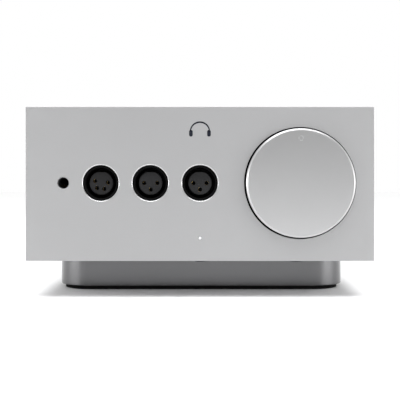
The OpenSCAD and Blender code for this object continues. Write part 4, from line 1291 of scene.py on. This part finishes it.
# %% Contact sleeves
def sleeve_model():
    sleeve_top = 14.5 * MM
    profile = soften([
        (0, -5 * MM, 0), (0.5 * MM, -5 * MM, 0.1 * MM), (0.5 * MM, 0.1 * MM, 0), (1.5 * MM, 0.1 * MM, 0.1 * MM),
        (1.5 * MM, sleeve_top + 0.1 * MM, 0.12 * MM), (1.2 * MM, sleeve_top + 0.1 * MM, 0.12 * MM),
        (1.2 * MM, 4 * MM, 0), (0, 4 * MM, 0),
    ])
    return new_object("sleeve", drawn(add_turned, profile, Matrix.Identity(4), steps=20))


def contact_spots(at, angles):
    base = shift(0, 0, SHELL_WALL - SHELL_DEPTH)
    return [at @ turn_about("Z", math.radians(a)) @ shift(CONTACT_RING, 0, 0) @ base
            for a in angles]


spots = []
for at, angles in zip(socket_places, FRONT_PINS):
    spots += contact_spots(at, angles)
for x in INPUT_XS:
    spots += contact_spots(on_rear(x, INPUT_Z), THREE_PINS)
sleeves = copies_of("contact_sleeves", sleeve_model(), spots, gold)
finish_piece(sleeves, None, "case", "gold_plated_brass", "socket_contacts")

# %% [markdown]
# ## Phono and link sockets
# A phono socket is a plated brass tube with a plug of plastic in its mouth and a collar that keeps it off the metal
# of the panel. By custom the collar of the right channel is red and the left one is white. The link sockets are
# rectangular, with a notch for the plug's catch and eight sprung contacts in a row.

# %% Phono sockets
phono_bm = bmesh.new()
tube = soften(mm((0, -20, 0), (4.15, -20, 0.3), (4.15, 1.6, 0), (5.4, 1.6, 0.2), (5.4, 2.7, 0.3), (4.15, 2.7, 0),
                 (4.15, 10, 0.35), (3.3, 10, 0.2), (3.3, -18, 0.1), (0, -18, 0)))
add_turned(phono_bm, tube, Matrix.Identity(4), steps=48)
nut = [(ring_of(r, 6), z) for r, z in ((5.9 * MM, -7 * MM), (6.5 * MM, -6.7 * MM), (6.5 * MM, -4.8 * MM),
                                        (5.9 * MM, -4.5 * MM))]
add_rings(phono_bm, nut, Matrix.Identity(4))
phono_spots = [on_rear(x, PHONO_Z) for x in PHONO_XS]
phonos = copies_of("phono_tubes", new_object("tube", phono_bm), phono_spots, gold, spin=math.tau, seed=8)
finish_piece(phonos, None, "case", "gold_plated_brass", "phono_sockets")


def phono_plastics(name, spots, material):
    collar = soften(mm((4.2, 0.5, 0), (5, 0.02, 0), (6.5, 0.02, 0.1), (6.5, 1.5, 0.4), (4.2, 1.5, 0)))
    core = soften(mm((0, -17.9, 0), (3.2, -17.9, 0), (3.2, 8.9, 0.3), (1.6, 8.9, 0.4), (1.6, -12, 0), (0, -12, 0)))
    sleeve = mm((4.2, -4.5), (6.5, -4.5), (6.5, -3.02), (4.9, -3.02), (4.9, 0.3), (4.2, 0.3))
    model_bm = bmesh.new()
    add_turned(model_bm, collar, Matrix.Identity(4), 48, closed=True)
    add_turned(model_bm, core, Matrix.Identity(4), 40)
    add_turned(model_bm, sleeve, Matrix.Identity(4), 48, closed=True)
    piece = copies_of(name, new_object("plastics", model_bm), spots, material)
    return finish_piece(piece, None, "case", "pale_plastic", "phono_insulators")


phono_plastics("left_channel_insulators", phono_spots[::2], pale_moulding)
phono_plastics("right_channel_insulators", phono_spots[1::2], red_moulding)

# %% Link sockets
link_model = new_object("link", drawn(add_slab, 16 * MM, 14 * MM, -20 * MM, 0, Matrix.Identity(4), 0.6 * MM,
                                      0.3 * MM))
carve(link_model, drawn(add_slab, 11.8 * MM, 7 * MM, -13 * MM, 2 * MM, Matrix.Identity(4), 0.3 * MM, 0.1 * MM))
carve(link_model, drawn(add_slab, 4 * MM, 3 * MM, -13 * MM, 2 * MM, shift(0, -4 * MM, 0), 0.2 * MM, 0.1 * MM))
link_spots = [on_rear(x, PHONO_Z) for x in LINK_XS]
links = copies_of("link_bodies", link_model, link_spots, black_moulding)
finish_piece(links, None, "case", "black_moulding", "link_sockets")
spring_bm = bmesh.new()
tilted = shift(0, 1.4 * MM, -6.5 * MM) @ turn_about("X", math.radians(-18))
add_slab(spring_bm, 0.5 * MM, 0.35 * MM, -5 * MM, 5 * MM, tilted, 0.1 * MM, 0.1 * MM, steps=2)
spring_spots = [spot @ shift((i - 3.5) * 1.02 * MM, 0, 0) for spot in link_spots for i in range(8)]
springs = copies_of("link_contacts", new_object("spring", spring_bm), spring_spots, gold)
finish_piece(springs, None, "case", "gold_plated_brass")

# %% [markdown]
# ## Mains inlet and switch
# The inlet, a drawer for the fuse, and a rocker switch stand in one column. The opening has two slanted corners, so
# the plug fits one way. The drawer slides out and the rocker tilts, so each of them rides on its own body. The
# switch carries the usual bar and circle for on and off.

# %% Mains inlet
at_inlet = on_rear(MAINS_X, INLET_Z)
inlet = new_object("inlet_body", drawn(add_slab, 31 * MM, 40 * MM, 0, 2.5 * MM, at_inlet, 2.5 * MM, 0.5 * MM))
combine(inlet, new_object("block", drawn(add_slab, 27.5 * MM, 36 * MM, -20 * MM, 1 * MM, at_inlet, 0.6 * MM,
                                         0.3 * MM)), "UNION")
half_w, half_h = 12.2 * MM, 8.3 * MM
inlet_shape = soften([
    (0, -half_h, 0), (half_w, -half_h, 1 * MM), (half_w, half_h - 4 * MM, 0.8 * MM),
    (half_w - 5 * MM, half_h, 0.8 * MM),
    (5 * MM - half_w, half_h, 0.8 * MM), (-half_w, half_h - 4 * MM, 0.8 * MM), (-half_w, -half_h, 1 * MM),
    (0, -half_h, 0),
])[:-1]
cutters = bmesh.new()
wider = [p * 1.035 for p in inlet_shape]
add_rings(cutters, [(inlet_shape, -16 * MM), (inlet_shape, 2.1 * MM), (wider, 2.55 * MM), (wider, 4 * MM)],
          at_inlet @ shift(0, 6.5 * MM, 0))
DRAWER_RISE = -12 * MM
at_drawer = at_inlet @ shift(0, DRAWER_RISE, 0)
add_slab(cutters, 22 * MM, 8.4 * MM, -16 * MM, 4 * MM, at_drawer, 0.2 * MM, 0.1 * MM)
carve(inlet, cutters)
finish_piece(inlet, black_moulding, "case", "black_moulding", "mains_inlet")
blade_bm = bmesh.new()
add_slab(blade_bm, 2 * MM, 4 * MM, -6 * MM, 6 * MM, Matrix.Identity(4), 0.3 * MM, 0.5 * MM, steps=3)
blade_spots = [at_inlet @ shift(u, 5.5 * MM + v, -10 * MM) for u, v in
               ((-7 * MM, 0), (0, 4 * MM), (7 * MM, 0))]
blades = copies_of("inlet_pins", new_object("blade", blade_bm), blade_spots, nickel)
finish_piece(blades, None, "case", "zinc_plated_steel", "inlet_blades")

# %% Fuse drawer
drawer = new_object("drawer_body", drawn(add_slab, 21.6 * MM, 8 * MM, -15 * MM, 3 * MM, at_drawer, 0.3 * MM,
                                         0.2 * MM))
carve(drawer, drawn(add_slab, 20.6 * MM, 8 * MM, -12 * MM, -6.4 * MM, at_drawer @ shift(0, 1.2 * MM, 0), 0.2 * MM))
finish_piece(drawer, black_moulding, "fuse_drawer", "black_moulding", "fuse_drawer")
drawer_lip = new_object("drawer_lip", drawn(add_slab, 23.2 * MM, 9 * MM, 2.7 * MM, 3.7 * MM, at_drawer, 0.7 * MM,
                                            0.3 * MM))
carve(drawer_lip, drawn(add_slab, 8 * MM, 1.5 * MM, 3 * MM, 5 * MM, at_drawer @ shift(0, -3.75 * MM, 0), 0.3 * MM,
                        0.05 * MM))
finish_piece(drawer_lip, black_moulding, "fuse_drawer", "black_moulding", "fuse_drawer")
glass = finish("fuse_glass", (0.93, 0.96, 0.95), 0.05)
shader_of(glass).inputs["Transmission Weight"].default_value = 0.9
between(glass, noise(glass, 400), 0.02, 0.12, shader_of(glass).inputs["Roughness"])
at_fuse = at_drawer @ shift(0, 0, -9.2 * MM) @ turn_about("Y", math.pi / 2)
tube = drawn(add_turned, mm((0, -9.9), (2.4, -9.9), (2.4, 9.9), (0, 9.9)), at_fuse, 32)
finish_piece(new_object("fuse_tube", tube), glass, "fuse_drawer", "fuse_glass", "mains_fuse")
bm = bmesh.new()
for side in (-1, 1):
    cap_at = at_fuse @ turn_about("Y", 0 if side > 0 else math.pi)
    cap = soften(mm((2.42, 4.8, 0), (2.6, 4.8, 0.05), (2.6, 10, 0.3), (0, 10, 0), (0, 9.92, 0), (2.42, 9.92, 0)))
    add_turned(bm, cap, cap_at, 32, closed=True)
finish_piece(new_object("fuse_caps", bm), nickel, "fuse_drawer", "zinc_plated_steel", "mains_fuse")

# %% [markdown]
# The rocker is one outline drawn out sideways: two raised ends with a hollow between them, and a round back that
# turns on a pin. The bar and the circle are thin white inlays that ride with it.

# %% Switch housing
at_switch = on_rear(MAINS_X, SWITCH_Z)
housing = new_object("switch_frame", drawn(add_slab, 15 * MM, 21 * MM, 0, 1.8 * MM, at_switch, 1 * MM, 0.5 * MM))
combine(housing, new_object("block", drawn(add_slab, 13 * MM, 19 * MM, -16 * MM, 1 * MM, at_switch, 0.5 * MM,
                                           0.3 * MM)), "UNION")
carve(housing, drawn(add_slab, 11.4 * MM, 17.4 * MM, -11 * MM, 4 * MM, at_switch, 0.4 * MM, 0.1 * MM))
finish_piece(housing, black_moulding, "case", "black_moulding", "switch_housing")

# %% Switch rocker
ROCKER_W = 11 * MM
PIVOT = -2 * MM
at_rocker = at_switch @ shift(0, 0, PIVOT) @ turn_about("X", math.radians(12))
across = at_rocker @ Matrix(((0, 0, 1), (1, 0, 0), (0, 1, 0))).to_4x4()
hollow = [(7.2 * MM - 14.4 * MM * i / 12, 3.4 * MM + 1.6 * MM * abs(i / 6 - 1) ** 1.6) for i in range(13)]
rocker_outline = soften(mm((0, -4, 0), (3, -4, 1), (7.2, 0.5, 0.8), (7.2, 5, 0.5), (6, 4.58, 0)))[:-1]
rocker_outline += [Vector(p) for p in hollow[1:-1]]
rocker_outline += soften(mm((-6, 4.58, 0), (-7.2, 5, 0.5), (-7.2, 0.5, 0.8), (-3, -4, 1), (0, -4, 0)))[1:-1]
bm = bmesh.new()
half = ROCKER_W / 2
add_rings(bm, [([p * 0.97 for p in rocker_outline], -half), (rocker_outline, -half + 0.25 * MM),
               (rocker_outline, half - 0.25 * MM), ([p * 0.97 for p in rocker_outline], half)], across)
pin_profile = [(0, -half - 0.6 * MM), (1.2 * MM, -half - 0.6 * MM), (1.2 * MM, -half + 0.1 * MM),
               (0, -half + 0.1 * MM)]
for turn in (0, math.pi):
    add_turned(bm, pin_profile, at_rocker @ turn_about("Y", turn) @ turn_about("Y", math.pi / 2), 24)
finish_piece(new_object("rocker", bm), black_moulding, "switch_rocker", "black_moulding", "switch_rocker")
white_ink = moulded("white_ink", (0.75, 0.75, 0.72), 0.5, 4000, 0.005 * MM)
bm = bmesh.new()
SYMBOL_REACH = 4.6 * MM
SYMBOL_RISE = 4.18 * MM
SYMBOL_LOW, SYMBOL_HIGH = -0.12 * MM, 0.1 * MM
flank_tilt = turn_about("X", math.radians(15.2))
bar_at = at_rocker @ shift(0, SYMBOL_REACH, SYMBOL_RISE) @ flank_tilt
add_slab(bm, 0.7 * MM, 3 * MM, SYMBOL_LOW, SYMBOL_HIGH, bar_at, 0.1 * MM, 0.02 * MM, steps=2)
circle_at = at_rocker @ shift(0, -SYMBOL_REACH, SYMBOL_RISE) @ flank_tilt.inverted()
circle = [(0.9 * MM, SYMBOL_LOW), (1.5 * MM, SYMBOL_LOW), (1.5 * MM, SYMBOL_HIGH), (0.9 * MM, SYMBOL_HIGH)]
add_turned(bm, circle, circle_at, 40, closed=True)
finish_piece(new_object("rocker_marks", bm), white_ink, "switch_rocker", "pale_plastic")

# %% [markdown]
# ## Circuit boards
# Five boards hold the parts. Under its green lacquer a board shows copper tracks that run straight, step sideways and
# end in round pads. A brick pattern gives the tracks and a Voronoi pattern the pads; the tracks also raise the
# lacquer a little. The boards themselves come from the frame and only take this finish.

# %% Board finish
def lacquered_board(name):
    material = finish(name, (0.01, 0.1, 0.04), 0.3)
    where = add_node(material, "ShaderNodeTexCoord")
    tracks = add_node(material, "ShaderNodeTexBrick")
    tracks.inputs["Scale"].default_value = 160
    tracks.inputs["Mortar Size"].default_value = 0.03
    tracks.inputs["Mortar Smooth"].default_value = 0.2
    tracks.inputs["Color1"].default_value = (0.006, 0.07, 0.028, 1)
    tracks.inputs["Color2"].default_value = (0.008, 0.08, 0.032, 1)
    tracks.inputs["Mortar"].default_value = (0.02, 0.17, 0.065, 1)
    join(material, where.outputs["Object"], tracks.inputs["Vector"])
    pads = add_node(material, "ShaderNodeTexVoronoi")
    pads.inputs["Scale"].default_value = 190
    join(material, where.outputs["Object"], pads.inputs["Vector"])
    near = add_node(material, "ShaderNodeMath", operation="LESS_THAN")
    near.inputs[1].default_value = 0.16
    join(material, pads.outputs["Distance"], near.inputs[0])
    mix = add_node(material, "ShaderNodeMix", data_type="RGBA")
    mix.inputs[7].default_value = (0.55, 0.5, 0.36, 1)
    join(material, near.outputs[0], mix.inputs[0])
    join(material, tracks.outputs["Color"], mix.inputs[6])
    join(material, mix.outputs[2], shader_of(material).inputs["Base Color"])
    bump(material, tracks.outputs["Fac"], 0.03 * MM, 0.6)
    return material


board_green = lacquered_board("board_green")


def dress(node, material, edge=None):
    """Gives a plain part from the frame its finish and, where it is a thick one, softened edges."""
    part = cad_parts[node]
    part.data.materials.clear()
    part.data.materials.append(material)
    if edge:
        together = part.modifiers.new("together", "WELD")
        together.merge_threshold = 0.002 * MM
        flat = part.modifiers.new("flat", "DECIMATE")
        flat.decimate_type = "DISSOLVE"
        flat.angle_limit = math.radians(1)
        soft = part.modifiers.new("soft", "BEVEL")
        soft.width = edge
        soft.segments = 2
        soft.limit_method = "ANGLE"
        soft.angle_limit = math.radians(40)
        soft.use_clamp_overlap = True
    return part


for node in ("button_board", "output_board", "main_board", "supply_board", "input_board"):
    dress(node, board_green)
print("boards dressed: 5")

# %% [markdown]
# ## Parts on the boards
# Small parts are set on the boards in a grid, as a placement machine does, with some places left empty. Each model
# has only a few faces because there are hundreds of copies. A fixed seed decides which kind stands where, and places
# that a larger part needs are left free.

# %% Small parts
import random

chooser = random.Random(41)
resistor_black = moulded("chip_black", (0.018, 0.018, 0.02), 0.4)
chip_tan = moulded("chip_tan", (0.42, 0.3, 0.17), 0.5)
tin = rolled_steel("tinned_lead", (0.7, 0.7, 0.69), 0.25)


def block(width, depth, height, lift=0.0, edge=0.12 * MM):
    return new_object("block", drawn(add_slab, width, depth, lift, lift + height, Matrix.Identity(4), edge * 2,
                                     edge, steps=1))


def chip_with_legs():
    """A flat package with four legs on each side; body and legs are separate models."""
    legs_bm = bmesh.new()
    for side in (-1, 1):
        for i in range(4):
            spot = shift(side * 2.6 * MM, (i - 1.5) * 1.27 * MM, 0)
            add_slab(legs_bm, 1.2 * MM, 0.4 * MM, 0.02 * MM, 0.5 * MM, spot, 0.05 * MM, 0.04 * MM, steps=1)
    return block(4 * MM, 5 * MM, 1.5 * MM, 0.1 * MM, 0.2 * MM), new_object("legs", legs_bm)


def free(x, y, keep_out, margin):
    return all(not (x0 - margin < x < x1 + margin and y0 - margin < y < y1 + margin) for x0, y0, x1, y1 in keep_out)


def grid_spots(low, high, pitch, keep_out, margin, share):
    spots = []
    for i in range(int((high[0] - low[0]) / pitch)):
        for j in range(int((high[1] - low[1]) / pitch)):
            x, y = low[0] + (i + 0.5) * pitch, low[1] + (j + 0.5) * pitch
            if chooser.random() < share and free(x, y, keep_out, margin):
                spots.append((x, y))
    return spots


def populate(name, low, high, z, keep_out):
    """Puts resistors, ceramic capacitors and chips on a board whose upper face is at z."""
    inner_low, inner_high = (low[0] + 9 * MM, low[1] + 9 * MM), (high[0] - 9 * MM, high[1] - 9 * MM)
    chips = grid_spots(inner_low, inner_high, 13 * MM, keep_out, 4.5 * MM, 0.45)
    around = keep_out + [(x - 4 * MM, y - 4 * MM, x + 4 * MM, y + 4 * MM) for x, y in chips]
    small = grid_spots(inner_low, inner_high, 4.2 * MM, around, 1.6 * MM, 0.75)
    body, legs = chip_with_legs()
    chip_places = [place("up", x, y, z) for x, y in chips]
    finish_piece(copies_of(name + "_chips", body, chip_places, resistor_black), None, "case", "black_moulding")
    finish_piece(copies_of(name + "_chip_legs", legs, chip_places, tin), None, "case", "zinc_plated_steel")
    turned = [place("up", x, y, z) @ turn_about("Z", chooser.choice((0, math.pi / 2))) for x, y in small]
    resistors = block(2 * MM, 1.25 * MM, 0.55 * MM, 0.02 * MM)
    finish_piece(copies_of(name + "_resistors", resistors, turned[::2], resistor_black), None, "case",
                 "black_moulding")
    ceramics = block(2 * MM, 1.3 * MM, 1.1 * MM, 0.02 * MM)
    finish_piece(copies_of(name + "_ceramics", ceramics, turned[1::2], chip_tan), None, "case", "pale_plastic")


main_low, main_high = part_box("main_board")
supply_low, supply_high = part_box("supply_board")
board_top = main_high[2]
relay_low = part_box("relays")[0]
relay_spots = [(-42 * MM + i * 28 * MM, relay_low[1] + 5 * MM) for i in range(4)]
film_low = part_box("film_capacitors")[0]
film_spots = [(film_low[0] + 7 * MM + i * 21 * MM, film_low[1] + 4 * MM + j * 30 * MM) for i in range(6)
              for j in range(2)]
keep = [(x - 10 * MM, y - 5 * MM, x + 10 * MM, y + 5 * MM) for x, y in relay_spots]
keep += [(x - 7 * MM, y - 4 * MM, x + 7 * MM, y + 4 * MM) for x, y in film_spots]
populate("main_board", main_low, main_high, board_top, keep)
reservoir_spots = [(supply_low[0] + 17 * MM + i * 28 * MM, supply_low[1] + 26 * MM + j * 32 * MM) for i in range(3)
                   for j in range(2)]
keep = [(x - 13 * MM, y - 13 * MM, x + 13 * MM, y + 13 * MM) for x, y in reservoir_spots]
populate("supply_board", supply_low, supply_high, board_top, keep)

# %% [markdown]
# The larger parts stand on the boards: relays in pale cases, film capacitors dipped in red resin, and six reservoir
# capacitors, each an aluminium can in a printed sleeve with a groove pressed round its foot and a scored top.

# %% Relays and capacitors
relays = copies_of("relay_cases", block(20 * MM, 10 * MM, 15 * MM, 0, 0.5 * MM),
                   [place("up", x, y, board_top) for x, y in relay_spots], pale_moulding)
finish_piece(relays, None, "case", "pale_plastic", "relays")
films = copies_of("film_capacitor_cases", block(14 * MM, 8 * MM, 16 * MM, 0, 0.9 * MM),
                  [place("up", x, y, board_top) for x, y in film_spots], red_moulding)
finish_piece(films, None, "case", "red_film", "film_capacitors")
sleeve_blue = moulded("sleeve_blue", (0.012, 0.02, 0.055), 0.25, 1200, 0.005 * MM)
can_aluminium = blasted_aluminium("can_aluminium", (0.7, 0.7, 0.7), 0.3, sparkle=0.4)
can_h = extent("reservoir_capacitors").z
can = soften([
    (0, 0, 0), (12.6 * MM, 0, 0.6 * MM), (13 * MM, 2 * MM, 0.5 * MM), (12.4 * MM, 3.6 * MM, 0.5 * MM),
    (13 * MM, 5.2 * MM, 0.5 * MM), (13 * MM, can_h - 0.2 * MM, 1.2 * MM), (10.6 * MM, can_h - 0.2 * MM, 0.1 * MM),
    (10.6 * MM, can_h - 0.7 * MM, 0), (0, can_h - 0.7 * MM, 0),
])
can_bm = bmesh.new()
add_turned(can_bm, can, Matrix.Identity(4), 48)
can_places = [place("up", x, y, board_top) for x, y in reservoir_spots]
sleeves_of_cans = copies_of("capacitor_sleeves", new_object("can", can_bm), can_places, sleeve_blue)
finish_piece(sleeves_of_cans, None, "case", "capacitor_sleeve", "reservoir_capacitors")
can_top = soften([
    (0, can_h - 0.65 * MM, 0), (10.4 * MM, can_h - 0.65 * MM, 0), (10.4 * MM, can_h, 0.3 * MM), (0, can_h, 0),
])
top_model = new_object("can_top", drawn(add_turned, can_top, Matrix.Identity(4), 40))
for angle in (0, math.pi / 2):
    score_at = turn_about("Z", angle) @ shift(0, 0, can_h)
    score = drawn(add_slab, 14 * MM, 0.5 * MM, -0.25 * MM, 0.3 * MM, score_at, 0.2 * MM, 0.05 * MM, steps=2)
    carve(top_model, score)
tops = copies_of("capacitor_tops", top_model, can_places, can_aluminium, spin=math.tau, seed=4)
finish_piece(tops, None, "case", "silver_aluminium", "reservoir_capacitors")

# %% [markdown]
# ## Heat sinks, transistors and transformer
# A heat sink is one outline of fins, as it comes out of the extrusion press. The toroidal transformer has copper
# wire wound through its hole, and one loop of wire copied round the axis shows that. Tape covers the core under it.
# The transistors stand 4.9 mm further out than in the engineering model, inside the base of the heat sinks, because
# the two matrices that should turn them inwards are mirrored. The closed case hides them.

# %% Heat sinks
sink_low, sink_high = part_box("right_heat_sink")
FIN_T = 2 * MM
SINK_PITCH = 7.5 * MM
BASE_T = 4 * MM
fins = round((sink_high[1] - sink_low[1]) / SINK_PITCH)
fin_gap = (SINK_PITCH - FIN_T) / 2
sink_corners = [(sink_low[0], sink_low[1], 0)]
sink_corners.append((sink_low[0] + BASE_T, sink_low[1], 0.3 * MM))
for i in range(fins):
    y0 = sink_low[1] + SINK_PITCH * i + 2 * fin_gap
    for x, y, r in ((sink_low[0] + BASE_T, y0, 0.8 * MM), (sink_high[0], y0, 0.5 * MM),
                    (sink_high[0], y0 + FIN_T, 0.5 * MM), (sink_low[0] + BASE_T, y0 + FIN_T, 0.8 * MM)):
        sink_corners.append((x, min(y, sink_high[1]), r))
sink_corners = sink_corners[:-1]
sink_corners.append((sink_low[0], sink_high[1], 0))
sink_outline = soften(sink_corners, steps=2)
for node, side in (("right_heat_sink", 1), ("left_heat_sink", -1)):
    bm = bmesh.new()
    outline = [Vector((side * p.x, p.y)) for p in sink_outline]
    add_rings(bm, [(outline, sink_low[2]), (outline, sink_high[2])], place("up", 0, 0, 0))
    finish_piece(new_object(node + "_fins", bm), black_heat_sink, "case", "grey_plate", node)

# %% Power transistors
transistor_low, transistor_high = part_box("output_transistors")
package = new_object("package", drawn(add_slab, 16 * MM, 21 * MM, 0, 4.9 * MM, Matrix.Identity(4), 0.6 * MM,
                                      0.4 * MM, steps=2))
carve(package, drawn(add_hole, 1.7 * MM, 1 * MM, shift(0, 5.5 * MM, 4.9 * MM), 0.2 * MM, 24))
transistor_z = (transistor_low[2] + transistor_high[2]) / 2
inward = {1: Matrix(((0, 0, -1), (1, 0, 0), (0, 1, 0))), -1: Matrix(((0, 0, 1), (-1, 0, 0), (0, 1, 0)))}
package_spots = []
for side in (-1, 1):
    for i in range(4):
        y = transistor_low[1] + 8 * MM + i * 25 * MM
        x = side * (transistor_high[0] if side > 0 else -transistor_low[0])
        turned_in = inward[side].to_4x4()
        package_spots.append(shift(x, y, transistor_z) @ turned_in)
packages = copies_of("transistor_packages", package, package_spots, resistor_black)
finish_piece(packages, None, "case", "black_moulding", "output_transistors")

# %% Transformer
coil_low, coil_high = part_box("transformer")
coil_at = place("up", middle("transformer").x, middle("transformer").y, coil_low[2])
coil_h = coil_high[2] - coil_low[2]
OUTER_R = (coil_high[0] - coil_low[0]) / 2
HOLE_R = 15 * MM
copper = rolled_steel("enamelled_copper", (0.62, 0.26, 0.07), 0.28)
tape = moulded("winding_tape", (0.5, 0.34, 0.1), 0.35, 600, 0.03 * MM)


def coil_section(gap, radius, steps):
    """The outline of one side of the coil, a gap inside its box. It starts halfway up, at the hole."""
    near_r, far_r, low_z, high_z = HOLE_R + gap, OUTER_R - gap, gap, coil_h - gap
    start = (near_r, coil_h / 2, 0)
    corners = [(near_r, low_z, radius), (far_r, low_z, radius), (far_r, high_z, radius), (near_r, high_z, radius)]
    return [Vector(start[:2])] + soften([start, *corners, start], steps)[1:-1]


core = coil_section(0.9 * MM, 7 * MM, 5)
finish_piece(new_object("taped_core", drawn(add_turned, core, coil_at, 96, closed=True)), tape, "case",
             "wound_transformer", "transformer")


def wire_loop(path, wire_r, sides=5):
    """A tube along a closed path in the XZ plane."""
    loops = []
    count = len(path)
    loop_bm = bmesh.new()
    for i, point in enumerate(path):
        along = (path[(i + 1) % count] - path[i - 1]).normalized()
        out = Vector((along.y, -along.x))
        ring = []
        for k in range(sides):
            angle = math.tau * k / sides
            spot = point + out * wire_r * math.cos(angle)
            ring.append(loop_bm.verts.new((spot.x, wire_r * math.sin(angle), spot.y)))
        loops.append(ring)
    faces = []
    for low, high in zip(loops, loops[1:] + loops[:1]):
        for k in range(sides):
            faces.append(loop_bm.faces.new((low[k], low[(k + 1) % sides], high[(k + 1) % sides], high[k])))
    bmesh.ops.recalc_face_normals(loop_bm, faces=faces)
    return new_object("wire", loop_bm)


WIRE_R = 0.44 * MM
path = coil_section(WIRE_R + 0.02 * MM, 7.5 * MM, 3)
LOOPS = 104
loop_spots = [coil_at @ turn_about("Z", math.tau * i / LOOPS) for i in range(LOOPS)]
windings = copies_of("copper_windings", wire_loop(path, WIRE_R), loop_spots, copper)
finish_piece(windings, None, "case", "wound_transformer", "transformer")

# %% [markdown]
# ## The rest of the inside
# What is left is simple and hidden: the bracket behind the front, the parts of the volume control, switches,
# standoffs, and what clamps the transformer. They keep the frame's own shape and get a finish, and a bevel where an
# edge would otherwise look like paper.

# %% Remaining parts
pot_case = rolled_steel("tinned_case", (0.5, 0.5, 0.46), 0.35)
for node, material, edge in (
    ("front_bracket", zinc_steel, 0.2 * MM),
    ("jack_contacts", gold, 0.1 * MM),
    ("knob_set_screw", black_steel, None),
    ("potentiometer_shaft", zinc_steel, 0.3 * MM),
    ("volume_potentiometer", pot_case, 0.3 * MM),
    ("potentiometer_nut", zinc_steel, 0.2 * MM),
    ("button_switches", black_moulding, 0.2 * MM),
    ("board_standoffs", gold, 0.15 * MM),
    ("transformer_pads", foot_rubber, 0.3 * MM),
    ("transformer_washer", zinc_steel, 0.3 * MM),
    ("transformer_bolt", zinc_steel, 0.3 * MM),
):
    dress(node, material, edge)
print("remaining parts dressed: 11")
